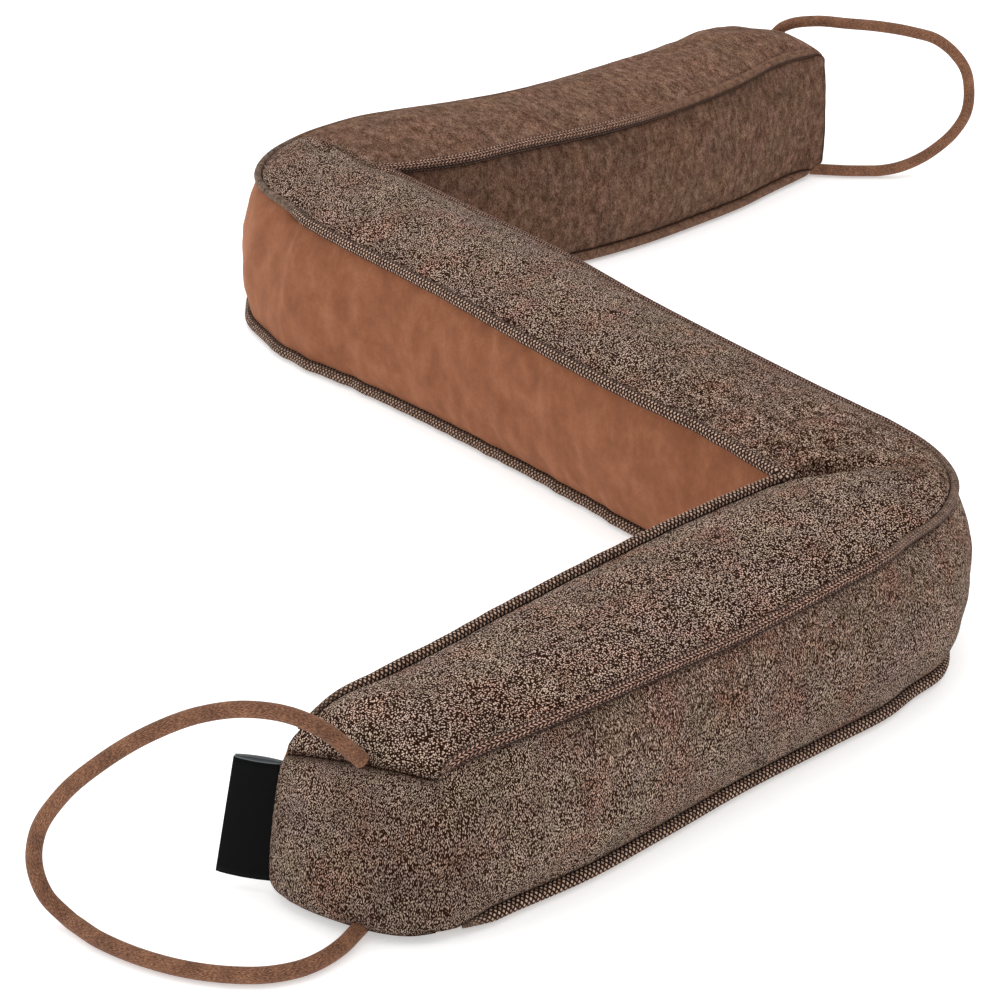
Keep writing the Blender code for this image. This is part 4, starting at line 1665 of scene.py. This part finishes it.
@dataclass
class Filling:
    """The stuffed bolster under its cover; its underside is the bottom cloth."""

    finish: Finish
    depth: float = 2.3  # from the cover's face to the filling
    step: float = 4.6
    top_cells: int = 18
    side_cells: int = 16

    def build(self) -> bpy.types.Object:
        """Returns:
            The new piece.
        """
        form = Bolster(step=self.step, top_cells=self.top_cells, side_cells=self.side_cells)
        covered = (Face.TOP, Face.RIGHT, Face.LEFT, Face.NEAR, Face.FAR)
        points, faces = form.solid(covered, self.depth)
        piece = add_piece("stuffed_body", points, faces, self.finish.material())
        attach(piece, "root")
        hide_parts("filled_body")
        return piece


class Panel(NamedTuple):
    """One cloth panel of the cover."""

    name: str
    node: str
    kinds: tuple
    finish: Finish
    slot: str
    flat: tuple  # width and length as cut, in metres
    area: float


@dataclass
class Cover:
    """The sewn cover: top, front, contrast and far-end panels."""

    form: Bolster
    panels: tuple
    thickness: float = 1.6
    trim: float = 0.18
    fold_edge: tuple = (-4.0, 2.0)  # from where to where past the near fold the pile comes to lie flat
    fold_fade: tuple = (30.0, 130.0)  # from where to where it stands up again
    fold_shares: tuple = (0.5, 0.14)  # how flat it lies before and after that
    worn_corners: tuple = (((170.0, -6.0), 26.0, 0.6), ((-112.0, 338.0), 24.0, 0.6))  # place, spread, share
    comb_share: float = 0.5
    comb_heights: tuple = (24.0, 60.0)  # heights between which combed lines appear
    comb_start: tuple = (40.0, 85.0)  # the same, of distances from the near end's shade

    def brushed(self, points: np.ndarray) -> np.ndarray:
        """How flat the pile lies: most beside the near fold and at the outer side of each bend.

        Args:
            points: places on the cover.

        Returns:
            A share for each of them.
        """
        plan = points[:, :2] - PLAN_SHIFT
        past = (plan - NEAR_BEND.centre) @ polar(NEAR_BEND.line_heading - 90)
        first, last = self.fold_shares
        share = ease(past, *self.fold_edge) * (first - (first - last) * ease(past, *self.fold_fade))
        for centre, spread, most in self.worn_corners:
            share = np.maximum(share, most * bell(np.linalg.norm(plan - centre, axis=1), spread))
        return share

    def combed(self, points: np.ndarray) -> np.ndarray:
        """How far the pile is combed into lines: most under the upper seam, not at the near end.

        Args:
            points: places on the cover.

        Returns:
            A share for each of them.
        """
        away = np.linalg.norm(points[:, :2] - NEAR_END_SHADE.place[:2], axis=1)
        return self.comb_share * ease(points[:, 2], *self.comb_heights) * ease(away, *self.comb_start)

    def build(self) -> list:
        """Returns:
            The new pieces.
        """
        made = []
        for panel in self.panels:
            points, faces, turned = self.form.sheet(panel.kinds, self.thickness, self.trim)
            piece = add_piece(panel.name, points, faces, panel.finish.material())
            mark_points(piece, turned_in=turned, brushed=self.brushed(points), combed=self.combed(points))
            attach(piece, "root")
            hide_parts(panel.node)
            made.append(piece)
        return made


@dataclass
class Piping:
    """Braid in the four long seams, each with the flange by which it is sewn in."""

    form: Bolster
    plait: BraidTrim
    lattice: BraidTrim
    relief: float = 0.2
    mean_stitch: float = 0.6  # height of a stitch that leaves the radius as it is
    step: float = 0.5
    sides: int = 24
    flange: float = 1.42  # reach of the flange, of the braid's radius
    least: float = 0.55  # radius at which the braid ducks into the end seam
    groove_turn: tuple = (240.0, 310.0)  # between these, the groove moves round the piping

    def relief_on(self, finish: BraidTrim, along: np.ndarray, values: np.ndarray,
                  flange_side: int) -> np.ndarray:
        """The braid's radius at each point of its line and each of its sides.

        Args:
            finish: the braid's finish, which says how it is woven.
            along: distances along the line.
            values: radius, lap and covered share at each of them.
            flange_side: the side of the tube that carries the flange.

        Returns:
            Radii that rise on the stitches and fall between them.
        """
        turn = 2 * np.pi
        place = along[:, None] / finish.stitch_mm
        row = np.arange(self.sides)[None, :] / self.sides * finish.rows
        if finish.weave is Weave.PLAIT:
            stitch = 0.5 + 0.5 * np.cos(turn * (place + np.abs((row + 1) % 2 - 1)))
            stitch = stitch * np.abs(np.sin(np.pi * row))
        else:
            stitch = 0.5 + 0.25 * (np.cos(turn * (place + row / 2)) + np.cos(turn * (place - row / 2)))
        radius = values[:, 0:1] + self.relief * (1 - values[:, 2:3]) * (stitch - self.mean_stitch)
        radius[:, flange_side] = values[:, 0] * self.flange
        return radius

    def groove(self, seam: Seam, along: np.ndarray, covered: np.ndarray) -> np.ndarray:
        """How dark each point of the piping is with the painted shadow of the cloth beside it.

        Args:
            seam: the piping's seam.
            along: distances along its line.
            covered: covered share at each of them.

        Returns:
            A share for each point of the line and each side of the tube.
        """
        centre = np.interp(along, self.groove_turn, seam.groove_sides)
        turns = np.arange(self.sides)[None, :] - centre[:, None]
        turns = (turns + self.sides / 2) % self.sides - self.sides / 2
        dark = seam.groove_darkness * bell(turns, seam.groove_spread)
        return dark if seam.weave is Weave.PLAIT else dark * (1 - covered[:, None])

    def build(self) -> list:
        """Makes the four pipings.

        Returns:
            The new pieces.
        """
        made, form = [], self.form
        finishes = {finish.weave: finish for finish in (self.plait, self.lattice)}
        materials = {weave: finish.material() for weave, finish in finishes.items()}
        for corner, seam in enumerate(SEAMS):
            shown = form.seams[:, corner, 0] >= self.least
            line, values = form.corners[shown, corner], form.seams[shown, corner]
            path = even_line(line, self.step)
            along = walked(path)
            values = np.column_stack([np.interp(along, walked(line), row) for row in values.T])
            covered = values[:, 2]
            radius = self.relief_on(finishes[seam.weave], along, values, seam.flange_side)
            name = seam.node.replace("piping", "braid")
            piece = sweep(name, path, radius, materials[seam.weave])
            mark_points(
                piece,
                covered=np.append(np.repeat(covered, self.sides), covered[[0, -1]]),
                grooved=np.append(self.groove(seam, along, covered).ravel(), [1.0, 1.0]),
            )
            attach(piece, "root")
            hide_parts(seam.node)
            made.append(piece)
        return made


@dataclass
class Tab:
    """A plain black tape folded double and sewn into the upright seam at the near end."""

    finish: Finish
    lining: Finish
    root_high: tuple = (-75.2, -186.0, 50.0)
    root_low: tuple = (-79.0, -190.0, 5.0)
    heading: float = 163.0
    reach_high: float = 17.3
    reach_low: float = 21.4
    wall: float = 1.0
    opening: float = 2.4
    arch: tuple = (0.08, 0.98)  # shares of a half turn that the opening's sides bow through
    arch_round: float = 0.7
    steps: int = 14
    rows: int = 20

    def profile(self, reach: float) -> np.ndarray:
        """The middle of the folded tape from above, from one sewn end round the fold to the other.

        Args:
            reach: from the seam to the fold.

        Returns:
            Rows of distance from the seam and distance sideways.
        """
        shares = np.linspace(0, 1, self.steps + 1)
        turns = np.linspace(*self.arch, self.steps + 1)
        halves = self.opening / 2 * np.sin(np.pi * turns) ** self.arch_round + self.wall / 2
        one = np.column_stack([shares * (reach - self.wall / 2), halves])
        return np.vstack([one, one[::-1] * (1.0, -1.0)])

    def build(self) -> bpy.types.Object:
        """Returns:
            The new piece.
        """
        outward = np.array([*polar(self.heading), 0.0])
        sideways = np.array([-outward[1], outward[0], 0.0])
        points, faces = [], []
        for share in np.linspace(0, 1, self.rows + 1):
            root = np.array(self.root_high) * (1 - share) + np.array(self.root_low) * share
            root = root + np.array([*PLAN_SHIFT, 0.0])
            line = self.profile(self.reach_high * (1 - share) + self.reach_low * share)
            points.append(root + np.outer(line[:, 0], outward) + np.outer(line[:, 1], sideways))
        wide = len(points[0])
        for row in range(self.rows):
            for place in range(wide - 1):
                a = row * wide + place
                faces.append((a, a + 1, a + 1 + wide, a + wide))
        piece = add_piece("folded_tab", np.vstack(points), faces, self.finish.material())
        piece.data.materials.append(self.lining.material())
        bpy.ops.object.select_all(action="DESELECT")
        piece.select_set(True)
        bpy.context.view_layer.objects.active = piece
        wall = piece.modifiers.new("tape", "SOLIDIFY")
        wall.thickness, wall.offset = self.wall * MM, 0.0
        wall.material_offset, wall.material_offset_rim = 1, 1
        bpy.ops.object.modifier_apply(modifier="tape")
        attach(piece, "root")
        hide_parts("tab")
        return piece


NEAR_ROUTE = (
    (-0.0763, -0.369, 0.064), (-0.0819, -0.3708, 0.0708), (-0.0869, -0.3703, 0.0752),
    (-0.0984, -0.3693, 0.0812), (-0.1149, -0.3673, 0.083), (-0.1301, -0.3653, 0.0798),
    (-0.1471, -0.3643, 0.0722), (-0.1641, -0.3643, 0.061), (-0.1791, -0.3653, 0.0475),
    (-0.1876, -0.3663, 0.034), (-0.1894, -0.3673, 0.021), (-0.1854, -0.3698, 0.0095),
    (-0.1796, -0.3728, 0.0046), (-0.1663, -0.3858, 0.0031), (-0.1496, -0.397, 0.0031),
    (-0.1346, -0.4034, 0.0031), (-0.121, -0.4063, 0.0031), (-0.1076, -0.4063, 0.0031),
    (-0.0961, -0.4023, 0.0031), (-0.0886, -0.3961, 0.0031), (-0.0831, -0.3888, 0.0031),
    (-0.0791, -0.381, 0.0031), (-0.0773, -0.3774, 0.0031),
)
FAR_ROUTE = (
    (0.1154, 0.3751, 0.0629), (0.1177, 0.374, 0.0659), (0.1203, 0.3727, 0.0692), (0.1249, 0.3697, 0.0726),
    (0.1379, 0.3667, 0.0753), (0.1552, 0.3637, 0.0749), (0.1726, 0.3617, 0.0739),
    (0.1901, 0.3597, 0.0713), (0.2019, 0.3587, 0.068), (0.2117, 0.3567, 0.0609),
    (0.2184, 0.3547, 0.0515), (0.2203, 0.3517, 0.0419), (0.2189, 0.3477, 0.0304),
    (0.2126, 0.3437, 0.0211), (0.2033, 0.3387, 0.0142), (0.1935, 0.3347, 0.0092),
    (0.1822, 0.3327, 0.0052), (0.1691, 0.3327, 0.0031), (0.1557, 0.3329, 0.0031),
    (0.1406, 0.3349, 0.0031), (0.1356, 0.3356, 0.0031),
)
MELANGE, RUST = "melange_chenille", "rust_microsuede"  # the record's slots of the cover's two cloths


def main() -> None:
    """Builds the scene in order and reports each piece."""
    logging.basicConfig(level=logging.INFO, format="%(message)s")
    studio = Studio()
    studio.set_camera()
    cord = SuedeCord("suede_cord")
    CordLoop("near_cord", "near_loop", NEAR_ROUTE, 0.295, cord).build()
    CordLoop("far_cord", "far_loop", FAR_ROUTE, 0.228, cord).build()
    curled = MelangeChenille("curled_melange_chenille")
    # the side panels' far run is darker than the top's: painted shade
    combed = MelangeChenille("combed_melange_chenille", nap=Nap.COMBED, far_shade=0.88)
    rust = RustMicrosuede("rust_microsuede_nap")
    Filling(curled).build()
    form = Bolster()
    panels = (
        Panel("top_cloth", "top_panel", (Face.TOP,), curled, MELANGE, (0.08, 1.0), 0.072),
        Panel("front_cloth", "front_panel", (Face.RIGHT, Face.NEAR), combed, MELANGE, (0.07, 1.1), 0.07),
        Panel("contrast_cloth", "contrast_panel", (Face.LEFT,), rust, RUST, (0.07, 1.0), 0.066),
        Panel("far_end_cloth", "far_end_panel", (Face.FAR,), combed, MELANGE, (0.07, 0.07), 0.0045),
    )
    Cover(form, panels).build()
    plait = BraidTrim("piping_braid_plait", stitch_mm=1.8, rows=14, edge=0.4, yarn="#6c4a3b", crown="#cda794")
    lattice = BraidTrim("piping_braid_lattice", weave=Weave.LATTICE)
    Piping(form, plait, lattice).build()
    Tab(WovenTape("black_satin_tape"), WovenTape("tape_inside", body="#4c5152", thread="#666b6c")).build()
    studio.lay_floor()
    studio.light()


if __name__ == "__main__":
    main()
